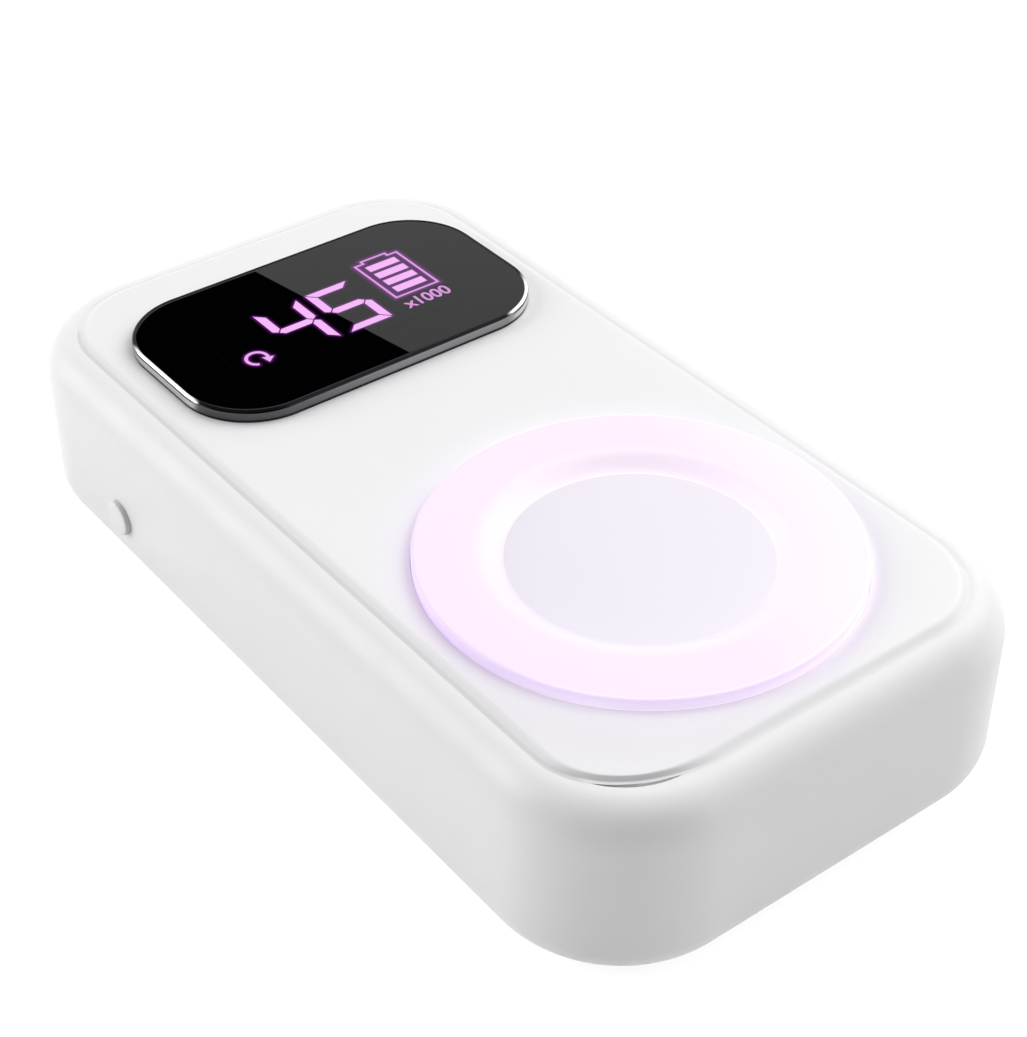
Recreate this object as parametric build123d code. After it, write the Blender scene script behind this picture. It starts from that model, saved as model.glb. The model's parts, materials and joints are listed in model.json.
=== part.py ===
from build123d import *
import math
import os

# The control box of a portable nail drill: a soft-edged white case with a raised top plate, a black
# display under a lens in a chrome bezel, and a large glowing dial that turns and clicks.
# Sizes are in millimetres. +Z is up and +Y is the display end. The power button is on the -X wall.
# The origin lies on the table, under the middle of the case.

# Case
case_width = 75.0
case_length = 139.0
case_height = 28.0
case_corner = 18.2
case_wall = 2.2
floor_thickness = 2.0
base_roll_in = 8.2
base_roll_tall = 6.4
shoulder_in = 5.25
shoulder_tall = 6.1
lip_thickness = 1.0
lip_height = 1.6
lip_root = 1.5
fit_gap = 0.1
overrun = 1.0

# Rubber feet
foot_radius = 4.5
foot_stand = 0.8
foot_recess = 1.0
foot_round = 0.3
foot_side_inset = 15.5
foot_end_inset = 22.5

# Screw columns in the corners of the case, on the diagonals
column_reach = 9.0
column_radius = 3.2
web_thickness = 1.6
web_sink = 0.2

# Screws
case_screw_radius = 1.25
case_screw_length = 11.0
case_head_radius = 2.3
case_head_height = 1.8
case_head_depth = 3.0
board_screw_radius = 1.0
board_screw_length = 4.6
board_head_radius = 1.9
board_head_height = 1.2
thread_gap = 0.04
hole_gap = 0.2
head_gap = 0.3
pilot_spare = 0.6

# Top plate, the ledge that carries it and the seam round it
plate_inset = 5.7
plate_corner = 11.9
plate_thickness = 2.0
plate_rise = 0.7
plate_step_in = 0.7
plate_step_drop = 0.2
plate_roll = 0.85
seam_gap = 0.1
opening_corner = 11.35
rim_round = 0.35
ledge_width = 1.2
ledge_thickness = 1.6
adhesive_thickness = 0.2
adhesive_side_gap = 0.15

# Dial and the well that it sits in
dial_side_margin = 3.15
dial_near_margin = 3.7
dial_rise = 1.7
dial_float = 0.7
press_travel = 0.5
ring_band = 9.35
ring_shell = 1.6
ring_outer_round = 1.0
ring_inner_round = 0.8
ring_crown = 0.15
ring_inner_drop = 0.75
cap_radius = 17.1
cap_edge_drop = 1.8
cap_edge_thickness = 1.1
cap_dish = 0.45
glue_gap = 0.05
hub_flange_radius = 18.6
hub_flange_thickness = 0.9
hub_boss_radius = 4.6
hub_boss_cover = 1.0
well_gap = 0.3
well_wall = 1.2
well_floor = 1.4
hub_hole_gap = 1.0

# Push encoder under the dial
encoder_size = 12.0
encoder_height = 4.5
collar_radius = 4.2
collar_height = 0.5
shaft_radius = 3.0
shaft_flat = 1.5
shaft_gap = 0.05
shaft_end_gap = 0.1
plunger_radius = 1.5
plunger_height = 0.7
plunger_gap = 0.02
dome_height = 0.5
dome_sheet = 0.12
encoder_base = 0.3
boss_to_collar = 0.7

# Light ring under the dial
window_radius = 23.0
window_width = 4.0
window_count = 6
window_spoke = 7.0
guide_side = 0.8
guide_thickness = 1.5
guide_gap = 0.05
led_count = 18
led_length = 3.5
led_width = 2.8
led_height = 0.9
led_gap = 0.1
led_board_thickness = 1.2
led_board_side = 1.1
led_post_radius = 2.0
led_post_gap = 0.7
led_post_count = 4

# Boards
board_thickness = 1.6
control_board_side = 2.4
control_board_length = 45.0
control_post_y = 19.5
control_post_radius = 2.4
control_board_drop = 11.9
chip_size = 7.0
chip_height = 1.0
chip_from_dial = 15.0

# Display
display_side_margin = 3.45
display_far_margin = 9.4
display_length = 33.8
display_corner = 11.2
bezel_rise = 1.8
bezel_roll_in = 0.25
bezel_roll_tall = 0.7
bezel_rim = 0.1
bezel_ledge = 0.3
bezel_ledge_width = 2.45
bezel_skirt = 1.0
skirt_short = 0.4
lens_gap = 0.05
lens_adhesive = 0.15
lens_sink = 0.1
lens_roll = 0.3
module_gap = 0.4
module_height = 5.0
module_lens_gap = 0.2
display_board_thickness = 1.2
display_board_side = 6.85
display_board_length = 40.0
display_post_side = 3.0
display_post_y = 17.6
display_post_radius = 2.2

# Segment bars of the readout, as the lit digits stand under the lens
bar_depth = 0.6
digit_width = 7.2
digit_height = 12.2
digit_pitch = 9.0
digit_stroke = 1.45
digit_bar_gap = 0.25
digits_x = -6.65
readout_low = -6.6
cell_bars = 4
cell_bar_width = 5.15
cell_bar_height = 1.4
cell_bar_pitch = 2.28
cell_bars_x = 12.9
cell_bars_low = 5.15

# Battery
battery_from_board = 0.15
battery_radius = 9.2
battery_end_room = 2.8
battery_pitch = 19.0
battery_nub_radius = 3.0
battery_nub = 0.5
cradle_skin = 0.5
cradle_height = 8.0
cradle_end = 1.0
cradle_end_height = 13.5
cradle_side = 1.0
cradle_gap = 0.1
case_clearance = 0.4
strip_thickness = 0.3
strip_width = 3.0
strip_gap = 0.05
link_width = 8.0
far_tab_from_board = 2.9
near_tab_from_board = 7.4
near_tab_rise = 5.5

# Power board at the display end
power_board_rise = 5.2
power_board_from_battery = 1.0
power_board_gap = 1.8
column_gap = 0.6
power_post_radius = 2.4
power_post_side = 7.0
power_post_mid_near = 3.4
power_post_mid_far = 8.5
inductor_size = 8.0
inductor_height = 4.0
inductor_side = 13.5
inductor_near = 5.0
capacitor_radius = 4.0
capacitor_height = 9.0
capacitor_x = -14.5
capacitor_near = 5.0
capacitor_pitch = 9.0
ribbon_width = 10.0
ribbon_thickness = 0.3
ribbon_bend = 2.0
ribbon_lift = 0.9
socket_depth = 3.0
socket_height = 1.4
display_ribbon_x = 0.0
display_ribbon_near = 10.5
control_ribbon_gap = 1.0

# Power button and its switch, on the -X wall
button_radius = 2.6
button_rise = 0.86
button_travel = 0.5
button_round = 0.5
button_gap = 0.12
button_flange_radius = 3.4
button_flange_thickness = 0.8
button_flange_gap = 0.05
button_from_board = 5.4
switch_width = 6.0
switch_height = 3.0
switch_depth = 3.8
switch_plunger_radius = 0.9
switch_plunger_length = 0.9
switch_plunger_sink = 0.4

# Sockets in the far end wall
charge_x = 12.0
charge_width = 9.0
charge_height = 3.2
charge_corner = 1.5
charge_depth = 7.3
charge_recess = 0.9
charge_wall = 0.3
charge_back = 0.8
charge_tongue_width = 6.7
charge_tongue_height = 0.7
charge_mouth_gap = 0.35
jack_x = -12.0
jack_width = 9.0
jack_height = 8.4
jack_wall_gap = 0.25
jack_depth = 12.5
jack_bore = 1.8
jack_bore_depth = 14.0
jack_nose_radius = 3.3
jack_recess = 0.2
collar_wall = 0.8
socket_fit = 0.05

# Heights that follow from the sizes above
cover_low = foot_stand
floor_top = cover_low + floor_thickness
seam = cover_low + base_roll_tall
shoulder_start = cover_low + case_height - shoulder_tall
rim_high = cover_low + case_height
plate_top = rim_high + plate_rise
plate_low = plate_top - plate_thickness
ledge_top = plate_low - adhesive_thickness
ledge_low = ledge_top - ledge_thickness
dial_top = plate_top + dial_rise
cap_edge = dial_top - cap_edge_drop
hub_top = cap_edge - cap_edge_thickness
hub_low = hub_top - hub_flange_thickness
well_top = hub_low - dial_float
well_low = well_top - well_floor
guide_low = well_low - guide_thickness
led_board_top = guide_low - led_gap - led_height
led_board_low = led_board_top - led_board_thickness
control_top = plate_low - control_board_drop
control_low = control_top - board_thickness
encoder_top = control_top + encoder_height
collar_top = encoder_top + collar_height
boss_low = collar_top + boss_to_collar
shaft_top = hub_low - hub_boss_cover
chamber_low = control_top + encoder_base
plunger_low = chamber_low + dome_height + plunger_gap
shaft_low = plunger_low + plunger_height + plunger_gap
bezel_top = plate_top + bezel_rise
lens_low = plate_top + bezel_ledge + lens_adhesive
lens_top = bezel_top - lens_sink
module_top = lens_low - module_lens_gap
display_board_top = module_top - module_height
display_board_low = display_board_top - display_board_thickness
battery_z = floor_top + cradle_skin + cradle_gap + battery_radius
power_low = floor_top + power_board_rise
power_top = power_low + board_thickness

# Plan sizes and places that follow from the sizes above
half_width = case_width / 2
half_length = case_length / 2
inner_half_width = half_width - case_wall
inner_half_length = half_length - case_wall
plate_width = case_width - 2 * plate_inset
plate_length = case_length - 2 * plate_inset
dial_radius = plate_width / 2 - dial_side_margin
dial_y = dial_radius + dial_near_margin - plate_length / 2
ring_inner = dial_radius - ring_band
well_radius = dial_radius + well_gap
display_width = plate_width - 2 * display_side_margin
display_board_width = display_width - 2 * display_board_side
display_post_x = display_board_width / 2 - display_post_side
display_y = plate_length / 2 - display_far_margin - display_length / 2
column_x = half_width - case_corner + column_reach * math.cos(math.radians(45))
column_y = half_length - case_corner + column_reach * math.sin(math.radians(45))
led_post_ring = window_radius - window_width / 2 - guide_side - led_post_gap - led_post_radius
led_board_inner = led_post_ring - led_post_radius - led_post_gap
led_board_outer = window_radius + window_width / 2 + guide_side + led_board_side
control_board_width = plate_width - 2 * control_board_side
control_post_x = control_board_width / 2 - control_post_radius
control_board_near = column_radius + column_gap - column_y
control_board_end = control_board_near + control_board_length
control_board_y = (control_board_near + control_board_end) / 2
cradle_reach = battery_pitch / 2 + battery_radius + cradle_side
battery_y = control_board_end + battery_from_board + cradle_reach
battery_end = inner_half_width - battery_end_room
cradle_half_width = battery_end + strip_thickness + 4 * strip_gap + cradle_end
power_board_start = battery_y + cradle_reach + power_board_from_battery
power_half_width = inner_half_width - power_board_gap
power_post_x = power_half_width - power_post_side
power_post_y = (power_board_start + column_y - column_radius - column_gap) / 2
inductor_x = power_half_width - inductor_side
control_ribbon_x = inductor_x - (inductor_size + ribbon_width) / 2 - control_ribbon_gap
button_y = power_board_start + button_from_board
button_z = power_top + switch_height / 2
flange_out = inner_half_width - button_flange_gap
flange_in = flange_out - button_flange_thickness
switch_face = flange_in - switch_plunger_length
jack_z = power_top + jack_height / 2
charge_z = power_top + charge_height / 2


def block(x_low, x_high, y_low, y_high, z_low, z_high):
    """Straight box between two corners."""
    middle = Pos((x_low + x_high) / 2, (y_low + y_high) / 2, (z_low + z_high) / 2)
    return middle * Box(x_high - x_low, y_high - y_low, z_high - z_low)


def disc(radius, low, high, x=0.0, y=0.0):
    """Upright cylinder at x, y."""
    return Pos(x, y, (low + high) / 2) * Cylinder(radius, high - low)


def side_disc(radius, y_low, y_high, x, z):
    """Cylinder that lies along Y at x, z."""
    return Pos(x, (y_low + y_high) / 2, z) * Rot(90, 0, 0) * Cylinder(radius, y_high - y_low)


def cross_disc(radius, x_low, x_high, y, z):
    """Cylinder that lies along X at y, z."""
    return Pos((x_low + x_high) / 2, y, z) * Rot(0, 90, 0) * Cylinder(radius, x_high - x_low)


def rounded_block(width, length, corner, low, high, y=0.0):
    """Straight-sided block with a rounded-rectangle plan."""
    return extrude(Pos(0, y, low) * RectangleRounded(width, length, corner), high - low)


def turned(points_and_arcs):
    """Solid of revolution about Z from a closed outline in the XZ plane."""
    return revolve(Plane.XZ * make_face(points_and_arcs), Axis.Z)


def soft_block(width, length, corner, low, high, base_roll=None, top_roll=None, y=0.0):
    """Block with a rounded-rectangle plan whose lower and upper edges roll in as quarter ellipses.

    A roll is (how far in, how tall). The edge section is swept round the plan and closed with a core.
    """
    base_in, base_tall = base_roll or (0.0, 0.0)
    top_in, top_tall = top_roll or (0.0, 0.0)
    reach = max(base_in, top_in) + corner / 4
    outline = RectangleRounded(width, length, corner).wire()
    edges = []
    start = (-base_in, low)
    if base_roll:
        lower = EllipticalCenterArc((-base_in, low + base_tall), base_in, base_tall, 270, arc_size=90)
        edges.append(lower)
    side_low = (0.0, low + base_tall)
    side_high = (0.0, high - top_tall)
    edges.append(Line(side_low, side_high))
    if top_roll:
        upper = EllipticalCenterArc((-top_in, high - top_tall), top_in, top_tall, 0, arc_size=90)
        edges.append(upper)
    edges += Polyline((-top_in, high), (-reach, high), (-reach, low), start).edges()
    section_plane = Plane(origin=outline @ 0, x_dir=(-1, 0, 0), z_dir=(0, 1, 0))
    edge_ring = sweep(section_plane * make_face(edges), path=outline)
    core = rounded_block(width - 2 * reach, length - 2 * reach, corner - reach, low, high)
    return Pos(0, y, 0) * (edge_ring + core)


def opening_round(width, length, corner, level, radius):
    """What a rounded upper edge takes off the rim of a rounded-rectangle opening."""
    outline = RectangleRounded(width, length, corner).wire()
    arc = CenterArc((radius, level - radius), radius, 90, 90)
    lift = radius / 2
    closing = Polyline((radius, level), (radius, level + lift), (-radius, level + lift),
                       (-radius, level - radius), (0.0, level - radius))
    section_plane = Plane(origin=outline @ 0, x_dir=(-1, 0, 0), z_dir=(0, 1, 0))
    return sweep(section_plane * make_face([arc] + closing.edges()), path=outline)


def screw(shank_radius, shank_length, head_radius, head_height, x, y, seat):
    """Pan-head screw that points up, its head seated at the given height."""
    shank = disc(shank_radius, seat, seat + shank_length, x, y)
    head = disc(head_radius, seat - head_height, seat, x, y)
    slot = block(x - head_radius, x + head_radius, y - head_radius / 6, y + head_radius / 6,
                 seat - head_height, seat - head_height / 2)
    return head + shank - slot


def down_screw(x, y, seat):
    """Board screw that points down, its head seated at the given height."""
    upright = screw(board_screw_radius, board_screw_length, board_head_radius, board_head_height, 0, 0, 0)
    return Pos(x, y, seat) * Rot(180, 0, 0) * upright


def board_screw(x, y, seat):
    """Board screw that points up."""
    return screw(board_screw_radius, board_screw_length, board_head_radius, board_head_height, x, y, seat)


def corners(x, y, middle_y=0.0):
    """The four mirrored places of one corner."""
    return [(side * x, middle_y + end * y) for side in (-1, 1) for end in (-1, 1)]


def ring_places(radius, count, start=0.0):
    """Places and angles evenly round the dial's axis."""
    places = []
    for index in range(count):
        angle = start + index * 360 / count
        x = radius * math.cos(math.radians(angle))
        y = dial_y + radius * math.sin(math.radians(angle))
        places.append((x, y, angle))
    return places


column_places = corners(column_x, column_y)
foot_places = corners(half_width - foot_side_inset, half_length - foot_end_inset)
control_posts = corners(control_post_x, control_post_y, control_board_y)
display_posts = corners(display_post_x, display_post_y, display_y)
power_posts = [
    (-power_post_x, power_post_y),
    (power_post_x, power_post_y),
    (0.0, power_board_start + power_post_mid_near),
    (0.0, half_length - power_post_mid_far),
]


def case_form():
    """Outer form of the closed case: a soft brick that rolls in at its foot and its shoulder."""
    return soft_block(case_width, case_length, case_corner, cover_low, rim_high,
                      (base_roll_in, base_roll_tall), (shoulder_in, shoulder_tall))


def case_hollow(clearance=0.0):
    """Room inside the walls, smaller by a clearance on every side where one is given."""
    inset = case_wall + clearance
    return soft_block(case_width - 2 * inset, case_length - 2 * inset, case_corner - inset,
                      floor_top + clearance, ledge_low - clearance,
                      (base_roll_in - inset, base_roll_tall - floor_thickness - clearance),
                      (shoulder_in, ledge_low - clearance - shoulder_start))


def column_web(low, high):
    """Ribs from the corner columns out to the wall, along the diagonals."""
    reach_out = case_corner - case_wall + web_sink
    length = reach_out - column_reach
    webs = []
    for x, y in column_places:
        angle = math.degrees(math.atan2(math.copysign(1, y), math.copysign(1, x)))
        rib = Pos(length / 2, 0, (low + high) / 2) * Box(length, web_thickness, high - low)
        webs.append(Pos(x, y, 0) * Rot(0, 0, angle) * rib)
    return webs


def main_case():
    """Walls, rolled shoulder, rim and ledge in one moulding, with the screw columns."""
    shell = (case_form() - case_hollow()) & block(-case_width, case_width, -case_length, case_length,
                                                  seam, rim_high + overrun)
    opening_width, opening_length = plate_width + 2 * seam_gap, plate_length + 2 * seam_gap
    opening = rounded_block(opening_width, opening_length, opening_corner, ledge_top, rim_high + overrun)
    rim_edge = opening_round(opening_width, opening_length, opening_corner, rim_high, rim_round)
    through = rounded_block(plate_width - 2 * ledge_width, plate_length - 2 * ledge_width,
                            plate_corner - ledge_width, ledge_low - overrun, ledge_top + overrun)
    shell = shell - opening - rim_edge - through
    for rib in column_web(seam + lip_height + fit_gap, ledge_low):
        shell += rib
    for x, y in column_places:
        shell += disc(column_radius, seam, ledge_low, x, y)
    pilot_high = cover_low + case_head_depth + case_screw_length + pilot_spare
    for x, y in column_places:
        shell -= disc(case_screw_radius + thread_gap, seam - overrun, pilot_high, x, y)
    shell -= cross_disc(button_radius + button_gap, -half_width - overrun, -inner_half_width + overrun,
                        button_y, button_z)
    shell -= side_disc(jack_nose_radius + collar_wall + 2 * socket_fit, inner_half_length - overrun,
                       half_length + overrun, jack_x, jack_z)
    mouth = RectangleRounded(charge_width + 2 * charge_mouth_gap, charge_height + 2 * charge_mouth_gap,
                             charge_height / 2)
    shell -= extrude(charge_plane(inner_half_length - overrun) * mouth, case_wall + 2 * overrun)
    return shell


def bottom_cover():
    """Shallow pan that closes the case from below, with a lip that fits inside the walls."""
    pan = (case_form() - case_hollow()) & block(-case_width, case_width, -case_length, case_length,
                                                cover_low - overrun, seam)
    lip_inset = case_wall + fit_gap
    lip_out = rounded_block(case_width - 2 * lip_inset, case_length - 2 * lip_inset,
                            case_corner - lip_inset, seam - lip_root, seam + lip_height)
    lip_hole_inset = lip_inset + lip_thickness
    lip_in = rounded_block(case_width - 2 * lip_hole_inset, case_length - 2 * lip_hole_inset,
                           case_corner - lip_hole_inset, seam - lip_root - overrun,
                           seam + lip_height + overrun)
    pan += lip_out - lip_in
    for rib in column_web(floor_top - web_sink, seam):
        pan += rib
    for x, y in column_places:
        pan += disc(column_radius, cover_low + case_head_depth - floor_thickness / 2, seam, x, y)
        pan += disc(case_head_radius + head_gap + case_wall / 2, floor_top - web_sink,
                    cover_low + case_head_depth + floor_thickness / 2, x, y)
    for x, y in power_posts:
        pan += disc(power_post_radius, floor_top - web_sink, power_low, x, y)
    for x, y in power_posts:
        pan -= disc(board_screw_radius + thread_gap, power_low - board_screw_length,
                    power_low + overrun, x, y)
    for x, y in column_places:
        pan -= disc(case_head_radius + head_gap, cover_low - overrun, cover_low + case_head_depth, x, y)
        pan -= disc(case_screw_radius + hole_gap, cover_low, seam + overrun, x, y)
    for x, y in foot_places:
        pan -= disc(foot_radius + fit_gap, cover_low - overrun, cover_low + foot_recess, x, y)
    pan -= cross_disc(button_flange_radius + 2 * hole_gap, -half_width,
                      -inner_half_width + 2 * lip_thickness, button_y, button_z)
    return pan


def rubber_feet():
    """Four pads that stand in recesses under the cover."""
    feet = []
    for x, y in foot_places:
        pad = disc(foot_radius, 0, foot_stand + foot_recess, x, y)
        feet.append(fillet(pad.edges().sort_by(Axis.Z)[0], foot_round))
    return feet


def case_screws():
    """Screws up through the cover into the corner columns."""
    seat = cover_low + case_head_depth
    return [screw(case_screw_radius, case_screw_length, case_head_radius, case_head_height, x, y, seat)
            for x, y in column_places]


def dial_windows():
    """Arc-shaped light windows in the floor of the well, between its spokes."""
    ring = disc(window_radius + window_width / 2, well_low, well_top, 0, dial_y)
    ring -= disc(window_radius - window_width / 2, well_low - overrun, well_top + overrun, 0, dial_y)
    for x, y, angle in ring_places(window_radius, window_count):
        spoke = Box(3 * window_width, window_spoke, 4 * well_floor)
        ring -= Pos(x, y, well_low) * Rot(0, 0, angle) * spoke
    return ring


def top_plate():
    """Raised control panel: a stepped edge, the dial's well, the display window and the board posts."""
    plate = rounded_block(plate_width, plate_length, plate_corner, plate_low, rim_high - plate_step_drop)
    plate += soft_block(plate_width - 2 * plate_step_in, plate_length - 2 * plate_step_in,
                        plate_corner - plate_step_in, plate_low, plate_top, None, (plate_roll, plate_roll))
    plate += disc(well_radius + well_wall, well_low, plate_low + plate_thickness / 2, 0, dial_y)
    plate -= disc(well_radius, well_top, plate_top + overrun, 0, dial_y)
    plate -= dial_windows()
    plate -= disc(hub_boss_radius + hub_hole_gap, well_low - overrun, well_top + overrun, 0, dial_y)
    skirt_width = display_width - 2 * (bezel_ledge_width + bezel_roll_in + bezel_rim) + 2 * bezel_skirt
    skirt_length = display_length - display_width + skirt_width
    skirt_corner = display_corner - (display_width - skirt_width) / 2
    plate -= rounded_block(skirt_width + 2 * fit_gap, skirt_length + 2 * fit_gap, skirt_corner + fit_gap,
                           plate_low - overrun, plate_top + overrun, display_y)
    pilot = board_screw_radius + thread_gap
    for x, y, _ in ring_places(led_post_ring, led_post_count, 45):
        plate += disc(led_post_radius, led_board_top, well_low, x, y)
        plate -= disc(pilot, led_board_top - overrun, led_board_low + board_screw_length + thread_gap, x, y)
    for x, y in control_posts:
        plate += disc(control_post_radius, control_top, plate_low, x, y)
        plate -= disc(pilot, control_top - overrun, control_low + board_screw_length + pilot_spare, x, y)
    for x, y in display_posts:
        plate += disc(display_post_radius, display_board_top, plate_low, x, y)
        plate -= disc(pilot, display_board_top - overrun,
                      display_board_low + board_screw_length + thread_gap, x, y)
    return plate


def plate_adhesive():
    """Thin frame that holds the plate down on its ledge."""
    width = plate_width - 2 * adhesive_side_gap
    length = plate_length - 2 * adhesive_side_gap
    inset = ledge_width - 2 * adhesive_side_gap
    frame = rounded_block(width, length, plate_corner - adhesive_side_gap, ledge_top, plate_low)
    frame -= rounded_block(width - 2 * inset, length - 2 * inset, plate_corner - adhesive_side_gap - inset,
                           ledge_top - overrun, plate_low + overrun)
    return frame


def dial_ring():
    """Translucent light ring: a crowned band with a hollow underside and an inner slope to the cap."""
    side_top = dial_top - ring_outer_round
    crown_edge = dial_top - ring_crown
    inner_low = dial_top - ring_inner_drop
    outer_crown = dial_radius - ring_outer_round
    inner_crown = ring_inner + ring_inner_round
    outer_arc = EllipticalCenterArc((outer_crown, side_top), ring_outer_round, crown_edge - side_top,
                                    0, arc_size=90)
    crown = ThreePointArc((outer_crown, crown_edge), ((outer_crown + inner_crown) / 2, dial_top),
                          (inner_crown, crown_edge))
    inner_arc = EllipticalCenterArc((inner_crown, inner_low), ring_inner_round, crown_edge - inner_low,
                                    90, arc_size=90)
    seat_radius = hub_flange_radius + glue_gap
    cavity_inner = seat_radius + ring_shell
    cavity_outer = dial_radius - ring_shell
    cavity_top = dial_top - ring_shell
    closing = Polyline((ring_inner, inner_low), (cap_radius, cap_edge), (cap_radius, hub_top),
                       (seat_radius, hub_top), (seat_radius, hub_low), (cavity_inner, hub_low),
                       (cavity_inner, cavity_top), (cavity_outer, cavity_top), (cavity_outer, hub_low),
                       (dial_radius, hub_low), (dial_radius, side_top))
    return Pos(0, dial_y, 0) * turned([outer_arc, crown, inner_arc] + closing.edges())


def dial_cap():
    """Dished disc in the middle of the ring, where a fingertip turns the dial."""
    radius = cap_radius - glue_gap
    rim = (radius, cap_edge)
    middle = (0, cap_edge - cap_dish)
    dish = TangentArc(middle, rim, tangent=(1, 0))
    closing = Polyline(rim, (radius, hub_top), (0, hub_top), middle)
    return Pos(0, dial_y, 0) * turned([dish] + closing.edges())


def flat_shaft(radius, low, high):
    """Round bar with one flat, on the dial's axis."""
    bar = disc(radius, low, high, 0, dial_y)
    return bar - block(-2 * radius, 2 * radius, dial_y + shaft_flat + radius - shaft_radius,
                       dial_y + 2 * radius, low - overrun, high + overrun)


def dial_hub():
    """Carrier glued under the ring and the cap, with a boss that grips the shaft's flat."""
    hub = disc(hub_flange_radius, hub_low, hub_top, 0, dial_y)
    hub += disc(hub_boss_radius, boss_low, hub_low, 0, dial_y)
    return hub - flat_shaft(shaft_radius + shaft_gap, boss_low - overrun, shaft_top + shaft_end_gap)


def encoder_shaft():
    """Shaft with a flat above the collar and a round foot inside the encoder."""
    foot = disc(shaft_radius, shaft_low, collar_top, 0, dial_y)
    return foot + flat_shaft(shaft_radius, collar_top, shaft_top)


def encoder_body():
    """Square encoder housing with its collar, open for the shaft and the click parts."""
    body = Pos(0, dial_y, (control_top + encoder_top) / 2) * Box(encoder_size, encoder_size, encoder_height)
    body += disc(collar_radius, encoder_top, collar_top, 0, dial_y)
    shaft_room_low = shaft_low - press_travel - shaft_end_gap
    body -= disc(shaft_radius + shaft_gap, shaft_room_low, collar_top + overrun, 0, dial_y)
    return body - disc(plunger_radius + shaft_gap, chamber_low, collar_top, 0, dial_y)


def click_plunger():
    """Small piston that carries the dial's press down to the click dome."""
    return disc(plunger_radius, plunger_low, plunger_low + plunger_height, 0, dial_y)


def click_dome():
    """Snap dome of thin sheet, which flattens when the dial is pressed."""
    radius = plunger_radius - shaft_gap
    dome_top = chamber_low + dome_height
    lower = TangentArc((0, dome_top - dome_sheet), (radius, chamber_low), tangent=(1, 0))
    upper = TangentArc((0, dome_top), (radius, chamber_low + dome_sheet), tangent=(1, 0))
    sides = [Line(lower @ 1, upper @ 1), Line(upper @ 0, lower @ 0)]
    return Pos(0, dial_y, 0) * turned([lower, upper] + sides)


def light_guide():
    """Clear ring under the well's floor, with lands that fill the light windows."""
    half = window_width / 2 + guide_side
    guide = disc(window_radius + half, guide_low, well_low, 0, dial_y)
    guide -= disc(window_radius - half, guide_low - overrun, well_low + overrun, 0, dial_y)
    lands = disc(window_radius + window_width / 2 - guide_gap, well_low - guide_gap, well_top, 0, dial_y)
    lands -= disc(window_radius - window_width / 2 + guide_gap, well_low - overrun,
                  well_top + overrun, 0, dial_y)
    for x, y, angle in ring_places(window_radius, window_count):
        spoke = Box(3 * window_width, window_spoke + 2 * guide_gap, 4 * well_floor)
        lands -= Pos(x, y, well_top + well_floor) * Rot(0, 0, angle) * spoke
    return guide + (lands & disc(2 * window_radius, well_low - guide_gap, well_top, 0, dial_y))


def ring_leds():
    """Light-emitting diodes on the LED board, facing up into the guide."""
    middle = led_board_top + led_height / 2
    return [Pos(x, y, middle) * Rot(0, 0, angle) * Box(led_width, led_length, led_height)
            for x, y, angle in ring_places(window_radius, led_count, 180 / led_count)]


def led_board():
    """Ring-shaped board that carries the LEDs."""
    board = disc(led_board_outer, led_board_low, led_board_top, 0, dial_y)
    board -= disc(led_board_inner, led_board_low - overrun, led_board_top + overrun, 0, dial_y)
    for x, y, _ in ring_places(led_post_ring, led_post_count, 45):
        board -= disc(board_screw_radius + hole_gap, led_board_low - overrun, led_board_top + overrun, x, y)
    return board


def led_board_screws():
    """Screws up through the LED board into its posts."""
    return [board_screw(x, y, led_board_low) for x, y, _ in ring_places(led_post_ring, led_post_count, 45)]


def control_board():
    """Board under the dial that carries the encoder and the controller."""
    board = Pos(0, control_board_y, (control_low + control_top) / 2)
    board = board * Box(control_board_width, control_board_length, board_thickness)
    for x, y in control_posts:
        board -= disc(board_screw_radius + hole_gap, control_low - overrun, control_top + overrun, x, y)
    return board


def control_chips():
    """Controller and memory, flat on the control board beside the encoder."""
    chips = []
    for side in (-1, 1):
        x = side * chip_from_dial
        chips.append(block(x - chip_size / 2, x + chip_size / 2, dial_y - chip_size / 2,
                           dial_y + chip_size / 2, control_top, control_top + chip_height))
    return chips


def control_board_screws():
    """Screws up through the control board into its posts."""
    return [board_screw(x, y, control_low) for x, y in control_posts]


def display_bezel():
    """Chrome frame round the lens: a rolled outer edge, a ledge for the lens and a skirt in the plate."""
    rim = bezel_roll_in + bezel_rim
    ledge = rim + bezel_ledge_width
    frame = soft_block(display_width, display_length, display_corner, plate_top, bezel_top,
                       None, (bezel_roll_in, bezel_roll_tall), display_y)
    frame -= rounded_block(display_width - 2 * rim, display_length - 2 * rim, display_corner - rim,
                           plate_top + bezel_ledge, bezel_top + overrun, display_y)
    skirt_inset = ledge - bezel_skirt
    frame += rounded_block(display_width - 2 * skirt_inset, display_length - 2 * skirt_inset,
                           display_corner - skirt_inset, plate_low + skirt_short, plate_top, display_y)
    frame -= rounded_block(display_width - 2 * ledge, display_length - 2 * ledge, display_corner - ledge,
                           plate_low - overrun, bezel_top + overrun, display_y)
    return frame


def lens_frame():
    """Thin adhesive frame that bonds the lens to the bezel's ledge."""
    outer = bezel_roll_in + bezel_rim + lens_gap
    inner = bezel_roll_in + bezel_rim + bezel_ledge_width
    low = plate_top + bezel_ledge
    frame = rounded_block(display_width - 2 * outer, display_length - 2 * outer, display_corner - outer,
                          low, lens_low, display_y)
    frame -= rounded_block(display_width - 2 * inner, display_length - 2 * inner, display_corner - inner,
                           low - overrun, lens_low + overrun, display_y)
    return frame


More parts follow.
